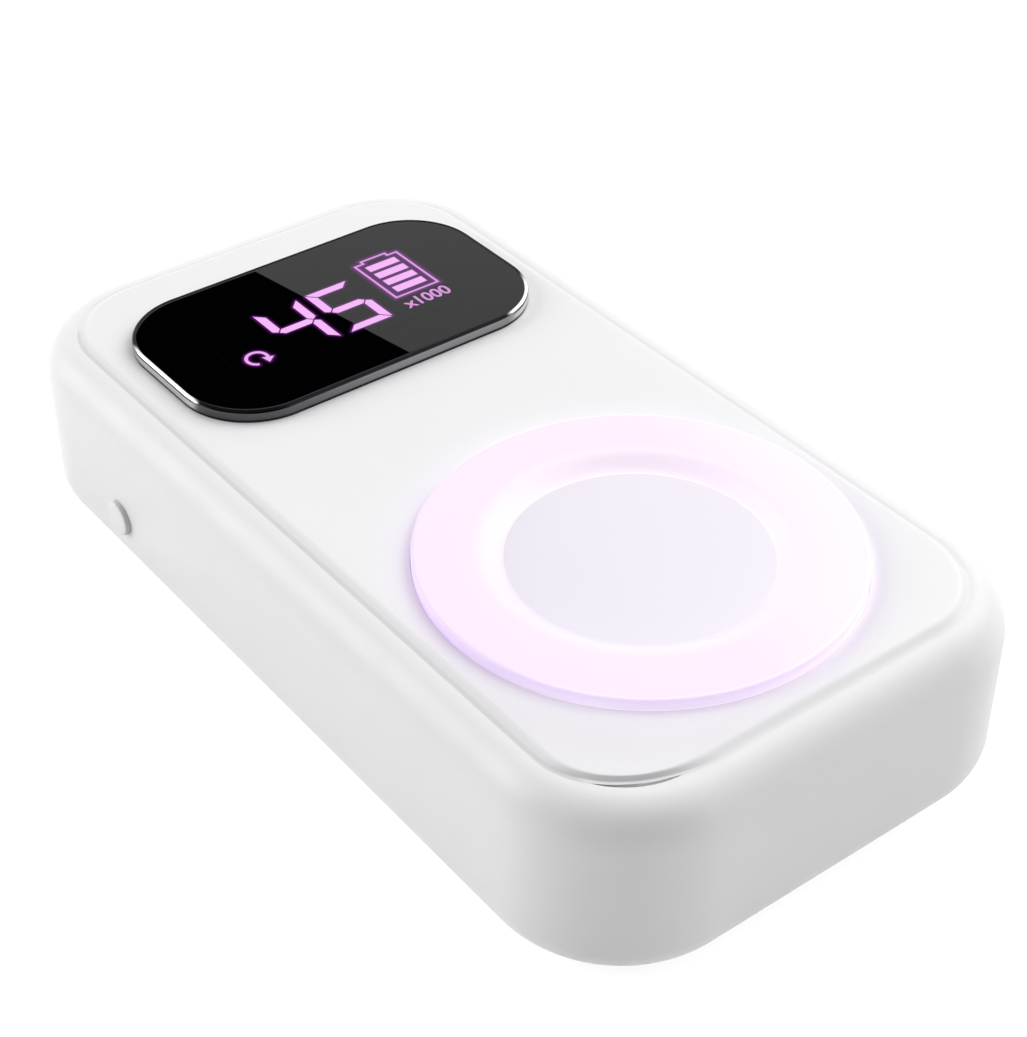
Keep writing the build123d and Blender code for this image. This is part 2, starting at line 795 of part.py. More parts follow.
def display_lens():
    """Black lens over the readout, with a softened edge."""
    inset = bezel_roll_in + bezel_rim + lens_gap
    return soft_block(display_width - 2 * inset, display_length - 2 * inset, display_corner - inset,
                      lens_low, lens_top, None, (lens_roll, lens_roll), display_y)


def bar_across(x, y, length):
    """Lit bar that lies along X, pointed at both ends, seen from above."""
    half = digit_stroke / 2
    tip = length / 2
    shoulder = tip - half
    outline = Polygon((-tip, 0), (-shoulder, -half), (shoulder, -half), (tip, 0), (shoulder, half),
                      (-shoulder, half), align=None)
    return Pos(x, y) * outline


def digit_bars(x):
    """All seven bars of one digit, with its lower edge on the readout's base line."""
    inner_width = digit_width - digit_stroke
    inner_height = digit_height - digit_stroke
    low = display_y + readout_low + digit_stroke / 2
    across = inner_width - 2 * digit_bar_gap
    upright = inner_height / 2 - 2 * digit_bar_gap
    bars = [bar_across(x, low + level * inner_height / 2, across) for level in range(3)]
    for side in (-1, 1):
        for level in (1, 3):
            place = Pos(x + side * inner_width / 2, low + level * inner_height / 4)
            bars.append(place * Rot(0, 0, 90) * bar_across(0, 0, upright))
    return bars


def readout_plan():
    """Plan of every lit bar: two digits and the bars of the battery gauge."""
    plan = digit_bars(digits_x) + digit_bars(digits_x + digit_pitch)
    for index in range(cell_bars):
        y = display_y + readout_low + cell_bars_low + index * cell_bar_pitch + cell_bar_height / 2
        plan.append(Pos(cell_bars_x, y) * Rectangle(cell_bar_width, cell_bar_height))
    return plan


def segment_bars():
    """Light bars of the readout, set into the face of the display module."""
    return [extrude(Pos(0, 0, module_top - bar_depth) * shape, bar_depth, dir=(0, 0, 1))
            for shape in readout_plan()]


def display_module():
    """Housing of the readout, under the lens and inside the bezel's skirt."""
    inset = bezel_roll_in + bezel_rim + bezel_ledge_width + module_gap
    module = rounded_block(display_width - 2 * inset, display_length - 2 * inset, display_corner - inset,
                           display_board_top, module_top, display_y)
    for shape in readout_plan():
        module -= extrude(Pos(0, 0, module_top - bar_depth) * shape, bar_depth + overrun, dir=(0, 0, 1))
    return module


def display_board():
    """Board that carries the display module."""
    board = Pos(0, display_y, (display_board_low + display_board_top) / 2)
    board = board * Box(display_board_width, display_board_length, display_board_thickness)
    for x, y in display_posts:
        board -= disc(board_screw_radius + hole_gap, display_board_low - overrun,
                      display_board_top + overrun, x, y)
    return board


def display_board_screws():
    """Screws up through the display board into its posts."""
    return [board_screw(x, y, display_board_low) for x, y in display_posts]


battery_places = [battery_y - battery_pitch / 2, battery_y + battery_pitch / 2]


def battery_cells():
    """Two round cells that lie across the case, head to tail."""
    cells = []
    for y in battery_places:
        shoulder = battery_end - battery_nub
        can = cross_disc(battery_radius, -shoulder, shoulder, y, battery_z)
        can += cross_disc(battery_nub_radius, -battery_end, battery_end, y, battery_z)
        cells.append(can)
    return cells


def battery_cradle():
    """Tray with a saddle for each cell and a wall at each end, trimmed to the inside of the case."""
    inner = cradle_half_width - cradle_end
    near, far = battery_y - cradle_reach, battery_y + cradle_reach
    tray = block(-cradle_half_width, cradle_half_width, near, far, floor_top, floor_top + cradle_height)
    for side in (-1, 1):
        middle = side * (cradle_half_width - cradle_end / 2)
        tray += block(middle - cradle_end / 2, middle + cradle_end / 2, near, far,
                      floor_top, floor_top + cradle_end_height)
    for y in battery_places:
        tray -= cross_disc(battery_radius + cradle_gap, -inner, inner, y, battery_z)
    for side in (-1, 1):
        strip_room = side * (battery_end + inner) / 2
        half = (inner - battery_end) / 2
        tray -= block(strip_room - half, strip_room + half, battery_places[0], battery_places[1],
                      floor_top + cradle_height / 2, floor_top + cradle_height + overrun)
    room = case_hollow(case_clearance)
    flat_reach = half_width - base_roll_in - case_clearance
    seat = block(-flat_reach, flat_reach, near, far, floor_top, floor_top + case_clearance)
    return (tray & room) + (tray & seat)


def strip_solid(shape, x):
    """Flat nickel strip in a YZ plane, with its -X face at x."""
    plane = Plane(origin=(x, 0, 0), x_dir=(0, 1, 0), z_dir=(1, 0, 0))
    return extrude(plane * shape, strip_thickness)


def battery_link():
    """Strip that joins the two cells in series at the -X end."""
    shape = RectangleRounded(battery_pitch + link_width, link_width, link_width / 3)
    return strip_solid(Pos(battery_y, battery_z) * shape, -battery_end - strip_gap - strip_thickness)


def battery_tabs():
    """Two output strips at the +X end, led along the wall and down to the power board."""
    half = strip_width / 2
    near_y, far_y = battery_places
    high = battery_z + near_tab_rise
    far_tab_y = power_board_start + far_tab_from_board
    near_tab_y = power_board_start + near_tab_from_board
    far = Polygon((far_y - half, battery_z - half), (far_tab_y - half, battery_z - half),
                  (far_tab_y - half, power_top), (far_tab_y + half, power_top),
                  (far_tab_y + half, battery_z + half), (far_y - half, battery_z + half), align=None)
    near = Polygon((near_y - half, battery_z - half), (near_y + half, battery_z - half),
                   (near_y + half, high - half), (near_tab_y - half, high - half),
                   (near_tab_y - half, power_top), (near_tab_y + half, power_top),
                   (near_tab_y + half, high + half), (near_y - half, high + half), align=None)
    return [strip_solid(shape, battery_end + strip_gap) for shape in (far, near)]


def power_board():
    """Board at the display end, shaped to the inside of the case and notched round its columns."""
    inset = case_wall + power_board_gap
    board = rounded_block(case_width - 2 * inset, case_length - 2 * inset, case_corner - inset,
                          power_low, power_top)
    board = board & block(-case_width, case_width, power_board_start, case_length, power_low, power_top)
    for rib in column_web(power_low - overrun, power_top + overrun):
        board -= rib
    for x, y in column_places:
        board -= disc(column_radius + column_gap, power_low - overrun, power_top + overrun, x, y)
        angle = math.degrees(math.atan2(math.copysign(1, y), math.copysign(1, x)))
        notch = Box(case_corner, web_thickness + 2 * column_gap, 4 * board_thickness)
        board -= Pos(x, y, power_low) * Rot(0, 0, angle) * Pos(case_corner / 2, 0, 0) * notch
    for x, y in power_posts:
        board -= disc(board_screw_radius + hole_gap, power_low - overrun, power_top + overrun, x, y)
    return board


def power_board_screws():
    """Screws down through the power board into its posts."""
    return [down_screw(x, y, power_top) for x, y in power_posts]


def power_inductor():
    """Square choke with rounded corners."""
    choke = RectangleRounded(inductor_size, inductor_size, inductor_size / 6)
    return extrude(Pos(inductor_x, power_board_start + inductor_near, power_top) * choke, inductor_height)


def power_capacitors():
    """Two upright capacitors."""
    cans = []
    for index in range(2):
        x = capacitor_x + index * capacitor_pitch - capacitor_pitch / 2
        y = power_board_start + capacitor_near
        can = disc(capacitor_radius, power_top, power_top + capacitor_height, x, y)
        cans.append(fillet(can.edges().sort_by(Axis.Z)[-1], capacitor_radius / 8))
    return cans


control_socket_y = control_board_end - socket_depth
power_socket_y = power_board_start + socket_depth / 2
display_ribbon_y = power_board_start + display_ribbon_near


def ribbon_sockets():
    """Low sockets where the flat ribbons end: two on the power board, one on each upper board."""
    half = ribbon_width / 2
    deep = socket_depth / 2
    places = [(control_ribbon_x, control_socket_y, control_top),
              (control_ribbon_x, power_socket_y, power_top),
              (display_ribbon_x, display_ribbon_y, power_top),
              (display_ribbon_x, display_ribbon_y, display_board_low - socket_height)]
    return [block(x - half, x + half, y - deep, y + deep, low, low + socket_height) for x, y, low in places]


def control_ribbon():
    """Flat cable from the power board, over the battery and down to the control board.

    It rises, bends level, follows the near cell's round side and eases out level above the board.
    """
    near_cell = battery_places[0]
    over = battery_z + battery_radius + ribbon_lift
    landing = control_top + socket_height + ribbon_thickness / 2
    around = battery_radius + ribbon_lift
    turn = math.degrees(math.acos(1 - (over - landing) / (around + ribbon_bend)))
    rise = Line((power_socket_y, power_top + socket_height), (power_socket_y, over - ribbon_bend))
    level_off = CenterArc((power_socket_y - ribbon_bend, over - ribbon_bend), ribbon_bend, 0, 90)
    across = Line(level_off @ 1, (near_cell, over))
    down = CenterArc((near_cell, battery_z), around, 90, turn)
    ease_y = near_cell - (around + ribbon_bend) * math.sin(math.radians(turn))
    ease = CenterArc((ease_y, landing + ribbon_bend), ribbon_bend, 270 + turn, -turn)
    run = Line(ease @ 1, (control_socket_y - socket_depth / 2, landing))
    strip = trace(Wire([rise, level_off, across, down, ease, run]), ribbon_thickness)
    plane = Plane(origin=(control_ribbon_x - ribbon_width / 2, 0, 0), x_dir=(0, 1, 0), z_dir=(1, 0, 0))
    return extrude(plane * strip, ribbon_width)


def display_ribbon():
    """Flat cable that stands between the display board and the power board."""
    half = ribbon_width / 2
    return block(display_ribbon_x - half, display_ribbon_x + half, display_ribbon_y - ribbon_thickness / 2,
                 display_ribbon_y + ribbon_thickness / 2, power_top + socket_height,
                 display_board_low - socket_height)


def power_button():
    """Round push button with a flange that keeps it behind the wall."""
    cap = cross_disc(button_radius, -half_width - button_rise, -flange_out, button_y, button_z)
    cap = fillet(cap.edges().sort_by(Axis.X)[0], button_round)
    return cap + cross_disc(button_flange_radius, -flange_out, -flange_in, button_y, button_z)


def switch_plunger():
    """Actuator of the side switch, which the button pushes in."""
    return cross_disc(switch_plunger_radius, -flange_in, -switch_face + switch_plunger_sink,
                      button_y, button_z)


def side_switch():
    """Body of the side switch, on the edge of the power board."""
    body = block(-switch_face, -switch_face + switch_depth, button_y - switch_width / 2,
                 button_y + switch_width / 2, power_top, power_top + switch_height)
    return body - cross_disc(switch_plunger_radius + shaft_gap, -switch_face - overrun,
                             -switch_face + switch_plunger_sink + button_travel + shaft_end_gap,
                             button_y, button_z)


def charge_plane(y):
    """Plane square to the far wall, on the charge port's axis, facing out."""
    return Plane(origin=(charge_x, y, charge_z), x_dir=(-1, 0, 0), z_dir=(0, 1, 0))


def charge_shell():
    """Metal shell of the charge port, open at its mouth."""
    mouth = half_length - charge_recess
    outer = RectangleRounded(charge_width, charge_height, charge_corner)
    inner = RectangleRounded(charge_width - 2 * charge_wall, charge_height - 2 * charge_wall,
                             charge_corner - charge_wall)
    shell = extrude(charge_plane(mouth - charge_depth) * outer, charge_depth)
    return shell - extrude(charge_plane(mouth - charge_depth + charge_back) * inner, charge_depth)


def charge_tongue():
    """Contact tongue in the middle of the charge port."""
    back = half_length - charge_recess - charge_depth + charge_back
    tongue = Rectangle(charge_tongue_width, charge_tongue_height)
    return extrude(charge_plane(back) * tongue, charge_depth - 2 * charge_back)


def handpiece_socket():
    """Round socket for the handpiece lead: a square body behind the wall and a nose through it."""
    face = half_length - jack_recess
    body = block(jack_x - jack_width / 2, jack_x + jack_width / 2, inner_half_length - jack_depth,
                 inner_half_length - jack_wall_gap, power_top, power_top + jack_height)
    body += side_disc(jack_nose_radius, inner_half_length - jack_depth / 2, face, jack_x, jack_z)
    return body - side_disc(jack_bore, face - jack_bore_depth, face + overrun, jack_x, jack_z)


def socket_collar():
    """Metal ring between the socket's nose and the wall."""
    low = inner_half_length
    high = half_length - jack_recess
    ring = side_disc(jack_nose_radius + socket_fit + collar_wall, low, high, jack_x, jack_z)
    return ring - side_disc(jack_nose_radius + socket_fit, low - overrun, high + overrun, jack_x, jack_z)


pieces = [
    main_case, bottom_cover, rubber_feet, case_screws, top_plate, plate_adhesive,
    dial_ring, dial_cap, dial_hub, encoder_shaft, encoder_body, click_plunger, click_dome,
    light_guide, ring_leds, led_board, led_board_screws,
    control_board, control_chips, control_board_screws,
    display_bezel, lens_frame, display_lens, segment_bars, display_module, display_board,
    display_board_screws, battery_cells, battery_cradle, battery_link, battery_tabs,
    power_board, power_board_screws, power_inductor, power_capacitors,
    ribbon_sockets, control_ribbon, display_ribbon,
    power_button, switch_plunger, side_switch,
    charge_shell, charge_tongue, handpiece_socket, socket_collar,
]

os.makedirs("parts", exist_ok=True)
for make_piece in pieces:
    piece = make_piece()
    if isinstance(piece, list):
        piece = Compound([solid for member in piece for solid in member.solids()])
    export_step(piece, "parts/" + make_piece.__name__ + ".step")
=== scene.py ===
import json
import math
import bmesh
import bpy
import numpy as np
from mathutils import Matrix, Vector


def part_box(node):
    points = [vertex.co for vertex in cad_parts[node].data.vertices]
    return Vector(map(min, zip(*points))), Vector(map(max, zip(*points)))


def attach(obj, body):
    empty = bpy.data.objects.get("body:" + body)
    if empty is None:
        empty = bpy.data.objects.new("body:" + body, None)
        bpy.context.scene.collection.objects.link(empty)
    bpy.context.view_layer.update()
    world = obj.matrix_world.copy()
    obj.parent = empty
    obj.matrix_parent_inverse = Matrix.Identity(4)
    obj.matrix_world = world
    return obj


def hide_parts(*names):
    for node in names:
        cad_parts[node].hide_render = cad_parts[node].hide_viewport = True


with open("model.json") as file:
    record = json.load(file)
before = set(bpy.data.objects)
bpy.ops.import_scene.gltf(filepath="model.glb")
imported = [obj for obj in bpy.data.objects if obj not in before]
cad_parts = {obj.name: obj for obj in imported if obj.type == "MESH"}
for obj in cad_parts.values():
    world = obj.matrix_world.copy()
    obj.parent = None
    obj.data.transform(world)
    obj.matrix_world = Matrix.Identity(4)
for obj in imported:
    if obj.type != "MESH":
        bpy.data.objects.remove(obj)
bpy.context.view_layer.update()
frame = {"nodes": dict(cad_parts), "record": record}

# A portable nail drill control box, dressed for looks: soft white case, raised top plate, lit ring dial
# and a black readout in a dark chrome rim. Lengths are in millimetres until a mesh, a finish's bump or a
# lamp is made.
MM = 0.001

# A row of points this far from a bend keeps the shading of the flat beside it even
guard = 0.3

# Case
case_corner = 18.2
case_wall = 2.2
base_roll_in = 8.2
base_roll_tall = 6.4
shoulder_in = 4.75
shoulder_tall = 6.1
floor_thickness = 2.0
cover_lip_tall = 1.6
cover_lip_thickness = 1.0
cover_lip_gap = 0.1
cover_lip_root = 1.5
notch_radius = 3.7
notch_deep = 6.0
hole_gap = 0.05
hole_deep = 4.0
port_opening = (9.7, 3.9)

# Top plate and its seat in the rim. The near corner has its own radii, some with one along X and one along Y.
opening_near_corner = 11.3
plate_lip = 0.85
plate_lip_low = 0.004
plate_lip_high = 0.02
lip_near_corner = (18.2, 12.4)
rise_near_corner = (19.2, 13.5)
face_near_corner = (12.3, 9.9)
rise_width = 1.7
seam_gap = 0.02
rim_round = 0.02
ledge_width = 1.2
ledge_thickness = 1.6

# Columns, posts and ribs inside the mouldings. Each sinks a little into the wall that carries it.
sink = 0.2
column_radius = 3.2
column_bore = 1.29
column_bore_deep = 8.2
column_reach = 9.0
web_thickness = 1.6
post_radius = 2.4
pilot = 0.85
pilot_deep = 3.0
board_screw_radius = 1.9
power_screw_row = 42.8

# Case screws and feet
head_radius = 2.3
head_tall = 1.8
head_recess = 2.6
head_cup_wall = 1.1
head_cup_sink = 0.3
screw_seat = 1.0
screw_seat_thickness = 1.0
screw_hole = 1.5
foot_radius = 4.5
foot_round = 0.4
foot_dish = 0.12
foot_dish_radius = 3.3
foot_recess_gap = 0.1
foot_recess_deep = 1.0

# Dial
window_radii = (21.0, 25.0)
window_count = 6
window_spoke = 7.0
ring_band = 9.35
ring_shell = 1.6
ring_outer_round = 0.5
ring_inner_round = 1.0
ring_crown = 0.15
ring_halo = 5.5
cap_drop = 1.8
cap_dish = 0.45
cap_gap = 0.01
cap_round = 0.15
hub_flange_radius = 18.6
well_gap = 0.1
well_floor = 1.4
well_wall = 1.2
encoder_clearance = 5.6

# Display
display_corner = 11.2
bezel_roll_in = 0.5
bezel_roll_tall = 0.5
bezel_rim = 0.06
bezel_ledge = 0.3
bezel_ledge_width = 2.24
bezel_foot_in = 1.0
lens_gap = 0.02
lens_roll = 0.06

# Power button
key_radius = 2.5
key_round = 0.3
key_crown = 0.04
key_flange_radius = 3.4
key_flange_thickness = 0.8

# Sockets
jack_nose = 3.3
jack_nose_long = 6.0
jack_nose_round = 0.3
jack_bore = 1.8
jack_deep = 14.0
jack_back = 0.4
jack_mouth = 0.35
jack_body_corner = 0.8
jack_body_gap = 0.25
jack_seat_deep = 8.0
collar_radii = (3.36, 4.15)
collar_round = 0.2
port_wall = 0.3
port_back = 0.8
port_corner = 1.5
port_lip = 0.1

# Marks of the readout, which stand a hair proud of the lens
digit_wide = 7.3
digit_tall = 12.1
digit_stroke = 1.32
digit_gap = 0.16
digit_pitch = 8.9
digit_left = -10.3
mark_thick = 0.02
# Spreads of the painted glow round the digits and the direction mark, and round the battery symbol
painted_glow_spread = 0.27
battery_spread = 0.42
battery_stroke = 0.36
battery_cell_tall = 1.55
battery_cell_pitch = 2.33
turn_radius = 1.55
turn_stroke = 0.5
arrow_half = 0.85
arrow_long = 1.35


def span(node):
    """Lowest and highest corner of a node of the frame, in millimetres."""
    low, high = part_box(node)
    return np.array(low) / MM, np.array(high) / MM


def middle_of(node):
    """Middle of a node's box, in millimetres."""
    return sum(span(node)) / 2


case_low, case_high = span("main_case")
plate_box_low, plate_box_high = span("top_plate")
ring_low, ring_high = span("dial_ring")
bezel_low, bezel_high = span("display_bezel")
lens_low, lens_high = span("display_lens")
cap_low, cap_high = span("dial_cap")
ledge_top, plate_low = (corner[2] for corner in span("plate_adhesive"))
cover_low = span("bottom_cover")[0][2]
key_face = span("power_button")[0][0]

case_width, case_length = case_high[0] - case_low[0], case_high[1] - case_low[1]
seam, rim_high = case_low[2], case_high[2]
cover_lip_top = seam + cover_lip_tall
cover_floor = cover_low + floor_thickness
shoulder_start = rim_high - shoulder_tall
ledge_low = ledge_top - ledge_thickness
plate_width, plate_length = (plate_box_high - plate_box_low)[:2]
plate_top = plate_box_high[2]
plate_corner = case_corner - (case_width - plate_width) / 2
dial_radius = (ring_high[0] - ring_low[0]) / 2
dial_centre = middle_of("dial_ring")
dial_axis = (0, dial_centre[1], 0)
dial_top = ring_high[2]
band_inner = dial_radius - ring_band
display_width, display_length = bezel_high[0] - bezel_low[0], bezel_high[1] - bezel_low[1]
display_centre = middle_of("display_bezel")
readout_low = display_centre[1] - 6.6


# Surfaces


def arc(centre, radii, start, stop, steps=8):
    """Part of an ellipse in a profile: centre + radii * (cos t, sin t), t from start to stop in degrees."""
    t = np.radians(np.linspace(start, stop, steps + 1))
    return np.stack([centre[0] + radii[0] * np.cos(t), centre[1] + radii[1] * np.sin(t)], 1)


def profile(*stretches):
    """One profile from points and arcs, in order."""
    return np.concatenate([np.atleast_2d(np.array(stretch, float)) for stretch in stretches])


def rounded_plan(width, length, corner, centre=(0.0, 0.0), steps=28, near_corner=None):
    """Rounded rectangle as points and outward normals: corner centre + corner radius * (cos t, sin t).

    The corner nearest the viewer, at -X and -Y, may have a radius of its own, or one along X and one along
    Y. Points near both ends of each side keep the shading of its flat stretch even.
    """
    radii = np.full((4, 2), corner)
    radii[2] = near_corner or corner
    signs = np.array([[1, 1], [-1, 1], [-1, -1], [1, -1]])
    middles = signs * (np.array([[width, length]]) / 2 - radii)
    near_ends = np.array([0.02, 0.15, 0.5, 0.85, 0.98])[:, None]
    points, normals = [], []
    for index, middle in enumerate(middles):
        t = np.pi / 2 * index + np.linspace(0, np.pi / 2, steps + 1)
        normal = np.stack([np.cos(t), np.sin(t)], 1)
        bend = middle + radii[index] * normal
        next_normal = normal[-1:]
        following = (index + 1) % 4
        next_start = middles[following] + radii[following] * next_normal
        side = bend[-1:] * (1 - near_ends) + next_start * near_ends
        points += [bend, side]
        normals += [normal, np.repeat(next_normal, len(near_ends), 0)]
    return np.concatenate(points) + np.array(centre[:2]), np.concatenate(normals)


def display_plan(inset):
    """The display's outline, drawn in by an inset."""
    return rounded_plan(display_width - 2 * inset, display_length - 2 * inset, display_corner - inset,
                        (0, display_centre[1]))


def carried(plan, section):
    """A section carried round a plan: plan point - inset * normal, at the section's height."""
    points, normals = plan
    inset, height = section[:, 0, None, None], section[:, 1]
    flat = points[None] - inset * normals[None]
    tall = np.repeat(height[:, None], len(points), 1)
    return np.concatenate([flat, tall[..., None]], 2)


def laid_down(grid):
    """A grid whose height runs along Y, and whose second side stands up."""
    return grid[..., [0, 2, 1]]


def turned(section, centre, steps=128, along=2):
    """A section of (radius, height) turned about an upright axis, or one that lies along X or Y."""
    t = np.linspace(0, 2 * np.pi, steps, endpoint=False)
    across = section[:, 0, None] * np.cos(t), section[:, 0, None] * np.sin(t)
    up = np.repeat(section[:, 1, None], steps, 1)
    axes = {2: (across[0], across[1], up), 1: (across[0], up, across[1]), 0: (up, across[0], across[1])}
    return np.stack(axes[along], 2) + np.array(centre, float)


def standing(loop, low, high):
    """A loop of (x, y) as the foot and the head of an upright wall."""
    flat = np.array(loop, float)
    return np.stack([np.column_stack([flat, np.full(len(flat), height)]) for height in (low, high)])


def smooth(mesh):
    """Smooth shading with crisp edges where faces meet at more than 35 degrees."""
    mesh.shade_smooth()
    mesh.set_sharp_from_angle(angle=math.radians(35))


def mesh_of(*sheets, looped=False):
    """Mesh from grids of points: rows follow the profile, columns go round.

    A looped grid closes along its rows too; any other has a flat cap at each end.
    """
    points, faces = [], []
    first = 0
    for sheet in sheets:
        rows, columns = sheet.shape[:2]
        index = first + np.arange(rows * columns).reshape(rows, columns)
        lower = index if looped else index[:-1]
        upper = np.roll(index, -1, 0) if looped else index[1:]
        quads = np.stack([lower, np.roll(lower, -1, 1), np.roll(upper, -1, 1), upper], 2)
        faces += quads.reshape(-1, 4).tolist()
        if not looped:
            faces += [index[0, ::-1].tolist(), index[-1].tolist()]
        points.append(sheet.reshape(-1, 3))
        first += rows * columns
    mesh = bpy.data.meshes.new("surface")
    mesh.from_pydata(np.concatenate(points) * MM, [], faces)
    closed = bmesh.new()
    closed.from_mesh(mesh)
    bmesh.ops.remove_doubles(closed, verts=closed.verts, dist=1e-7)
    bmesh.ops.recalc_face_normals(closed, faces=closed.faces)
    closed.to_mesh(mesh)
    closed.free()
    smooth(mesh)
    return mesh


def joined(*meshes):
    """One mesh from several."""
    whole = bmesh.new()
    for mesh in meshes:
        whole.from_mesh(mesh)
    result = bpy.data.meshes.new("joined")
    whole.to_mesh(result)
    whole.free()
    smooth(result)
    return result


def linked(name, data):
    """Object of a mesh, lamp, camera or text, in the scene."""
    made = bpy.data.objects.new(name, data)
    bpy.context.scene.collection.objects.link(made)
    return made


def drawn(made):
    """Mesh of an object as it is drawn, with its modifiers."""
    graph = bpy.context.evaluated_depsgraph_get()
    return bpy.data.meshes.new_from_object(made.evaluated_get(graph))


def cut_away(mesh, cutters):
    """The mesh less the cutters, each a grid."""
    target = linked("cut", mesh)
    tools = []
    for cutter in cutters:
        tool = linked("tool", mesh_of(cutter))
        step = target.modifiers.new("cut", "BOOLEAN")
        step.operation = "DIFFERENCE"
        step.solver = "EXACT"
        step.object = tool
        tools.append(tool)
    result = drawn(target)
    for used in [target] + tools:
        bpy.data.objects.remove(used)
    smooth(result)
    return result


def points_of(mesh):
    """A mesh's points, in its own units."""
    points = np.empty(len(mesh.vertices) * 3)
    mesh.vertices.foreach_get("co", points)
    return points.reshape(-1, 3)


def paint(mesh, name, values):
    """One number for each point of a mesh, for its finish to read."""
    mesh.attributes.new(name, "FLOAT", "POINT").data.foreach_set("value", values)


def put(name, mesh, body, slot, *nodes):
    """Object that rides on a body, takes its finish from a slot and stands for nodes of the frame."""
    mesh.name = name
    piece = linked(name, mesh)
    mesh.materials.clear()
    mesh.materials.append(finishes[slot])
    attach(piece, body)
    if nodes:
        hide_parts(*nodes)
    return piece


# Finishes


class Term:
    """A socket of a finish's nodes. Arithmetic on it adds the Math nodes that work it out."""

    def __init__(self, nodes, socket):
        self.nodes = nodes
        self.socket = socket

    def math(self, operation, *operands):
        return self.nodes.node("ShaderNodeMath", {"operation": operation}, dict(enumerate(operands)))

    def __add__(self, other):
        return self.math("ADD", self, other)

    def __mul__(self, other):
        return self.math("MULTIPLY", self, other)

    def __sub__(self, other):
        return self.math("SUBTRACT", self, other)

    def __rsub__(self, other):
        return self.math("SUBTRACT", other, self)

    def __pow__(self, other):
        return self.math("POWER", self, other)

    def __lt__(self, other):
        return self.math("LESS_THAN", self, other)

    def __gt__(self, other):
        return self.math("GREATER_THAN", self, other)


class Nodes:
    """The nodes of a material or of the world: their shader, and one way to add any other node."""

    def __init__(self, owner, shader, **constants):
        owner.use_nodes = True
        self.tree = owner.node_tree
        self.shader = self.tree.nodes[shader]
        for socket, value in constants.items():
            self.shader.inputs[socket.replace("_", " ")].default_value = value

    def node(self, kind, settings=None, values=None, output=0):
        made = self.tree.nodes.new(kind)
        for key, value in (settings or {}).items():
            setattr(made, key, value)
        for key, value in (values or {}).items():
            if isinstance(value, Term):
                self.tree.links.new(value.socket, made.inputs[key])
            else:
                made.inputs[key].default_value = value
        return Term(self, made.outputs[output])

    def feed(self, socket, term):
        self.tree.links.new(term.socket, self.shader.inputs[socket])

    def ramp(self, factor, low, high, start=0.0, stop=1.0):
        """Eases from start to stop while the factor goes from low to high."""
        values = {"Value": factor, "From Min": low, "From Max": high, "To Min": start, "To Max": stop}
        return self.node("ShaderNodeMapRange", {"interpolation_type": "SMOOTHSTEP"}, values)

    def background_rays(self):
        """1 on rays that show the background: those of the camera, reflections and clear materials."""
        camera, glossy, clear = [self.node("ShaderNodeLightPath", output=f"Is {kind} Ray")
                                 for kind in ("Camera", "Glossy", "Transmission")]
        return camera.math("MAXIMUM", camera, glossy.math("MAXIMUM", glossy, clear))


class Finish(Nodes):
    """A material in the making."""

    def __init__(self, name, **constants):
        self.material = bpy.data.materials.new(name)
        super().__init__(self.material, "Principled BSDF", **constants)
        self.place = self.node("ShaderNodeTexCoord", output="Object")

    def noise(self, scale, detail=3.0, place=None):
        values = {"Vector": place or self.place, "Scale": scale, "Detail": detail}
        return self.node("ShaderNodeTexNoise", values=values)

    def cells(self, scale):
        """Distance from the nearest of scattered points."""
        values = {"Vector": self.place, "Scale": scale}
        return self.node("ShaderNodeTexVoronoi", values=values, output="Distance")

    def stretched(self, scales):
        """Place with its axes scaled, so that a noise runs along one of them."""
        return self.node("ShaderNodeMapping", values={"Vector": self.place, "Scale": scales})

    def painted(self, name):
        """Number that was painted on the mesh's points."""
        return self.node("ShaderNodeAttribute", {"attribute_name": name}, output="Fac")

    def axis(self, letter, start=0.0):
        """Distance along an axis of the frame from a start, in millimetres."""
        place = self.node("ShaderNodeSeparateXYZ", values={"Vector": self.place}, output="XYZ".index(letter))
        return place * (1 / MM) - float(start)

    def from_dial(self):
        """Distance from the dial's axis, in millimetres."""
        x, y = self.axis("X", dial_centre[0]), self.axis("Y", dial_centre[1])
        return (x * x + y * y) ** 0.5

    def blend(self, factor, first, second):
        values = {"Factor": factor, 6: colour_of(first), 7: colour_of(second)}
        return self.node("ShaderNodeMix", {"data_type": "RGBA"}, values, output=2)

    def tint(self, factor, first, second):
        self.feed("Base Color", self.blend(factor, first, second))

    def drift(self):
        """Slow, soft noise for a slight change of shade."""
        return self.noise(28.0, 2.0)

    def bump(self, height, distance):
        values = {"Height": height, "Distance": distance * MM, "Strength": 1.0}
        self.feed("Normal", self.node("ShaderNodeBump", values=values))

    def spark(self, depth, grain=2600.0):
        """The fine grain of a spark-worn mould."""
        self.bump(self.noise(grain, 2.0), depth)

    def gloss(self, smoothest, roughest, mark=None):
        """Roughness that wanders between two values with a mark, or with a soft noise."""
        self.feed("Roughness", self.ramp(mark or self.noise(160.0), 0.3, 0.7, smoothest, roughest))


def colour_of(value):
    """A colour given as three numbers gets its fourth."""
    return value if isinstance(value, Term) else (*value, 1.0)


def moulded(name, colour, roughness, shade=0.97, grain=2600.0, depth=0.006):
    """Moulded plastic: a slow drift of shade, a little unevenness of gloss and a fine spark grain."""
    finish = Finish(name)
    finish.tint(finish.drift(), colour, [part * shade for part in colour])
    finish.gloss(roughness - 0.04, roughness + 0.04)
    finish.spark(depth, grain)
    return finish.material


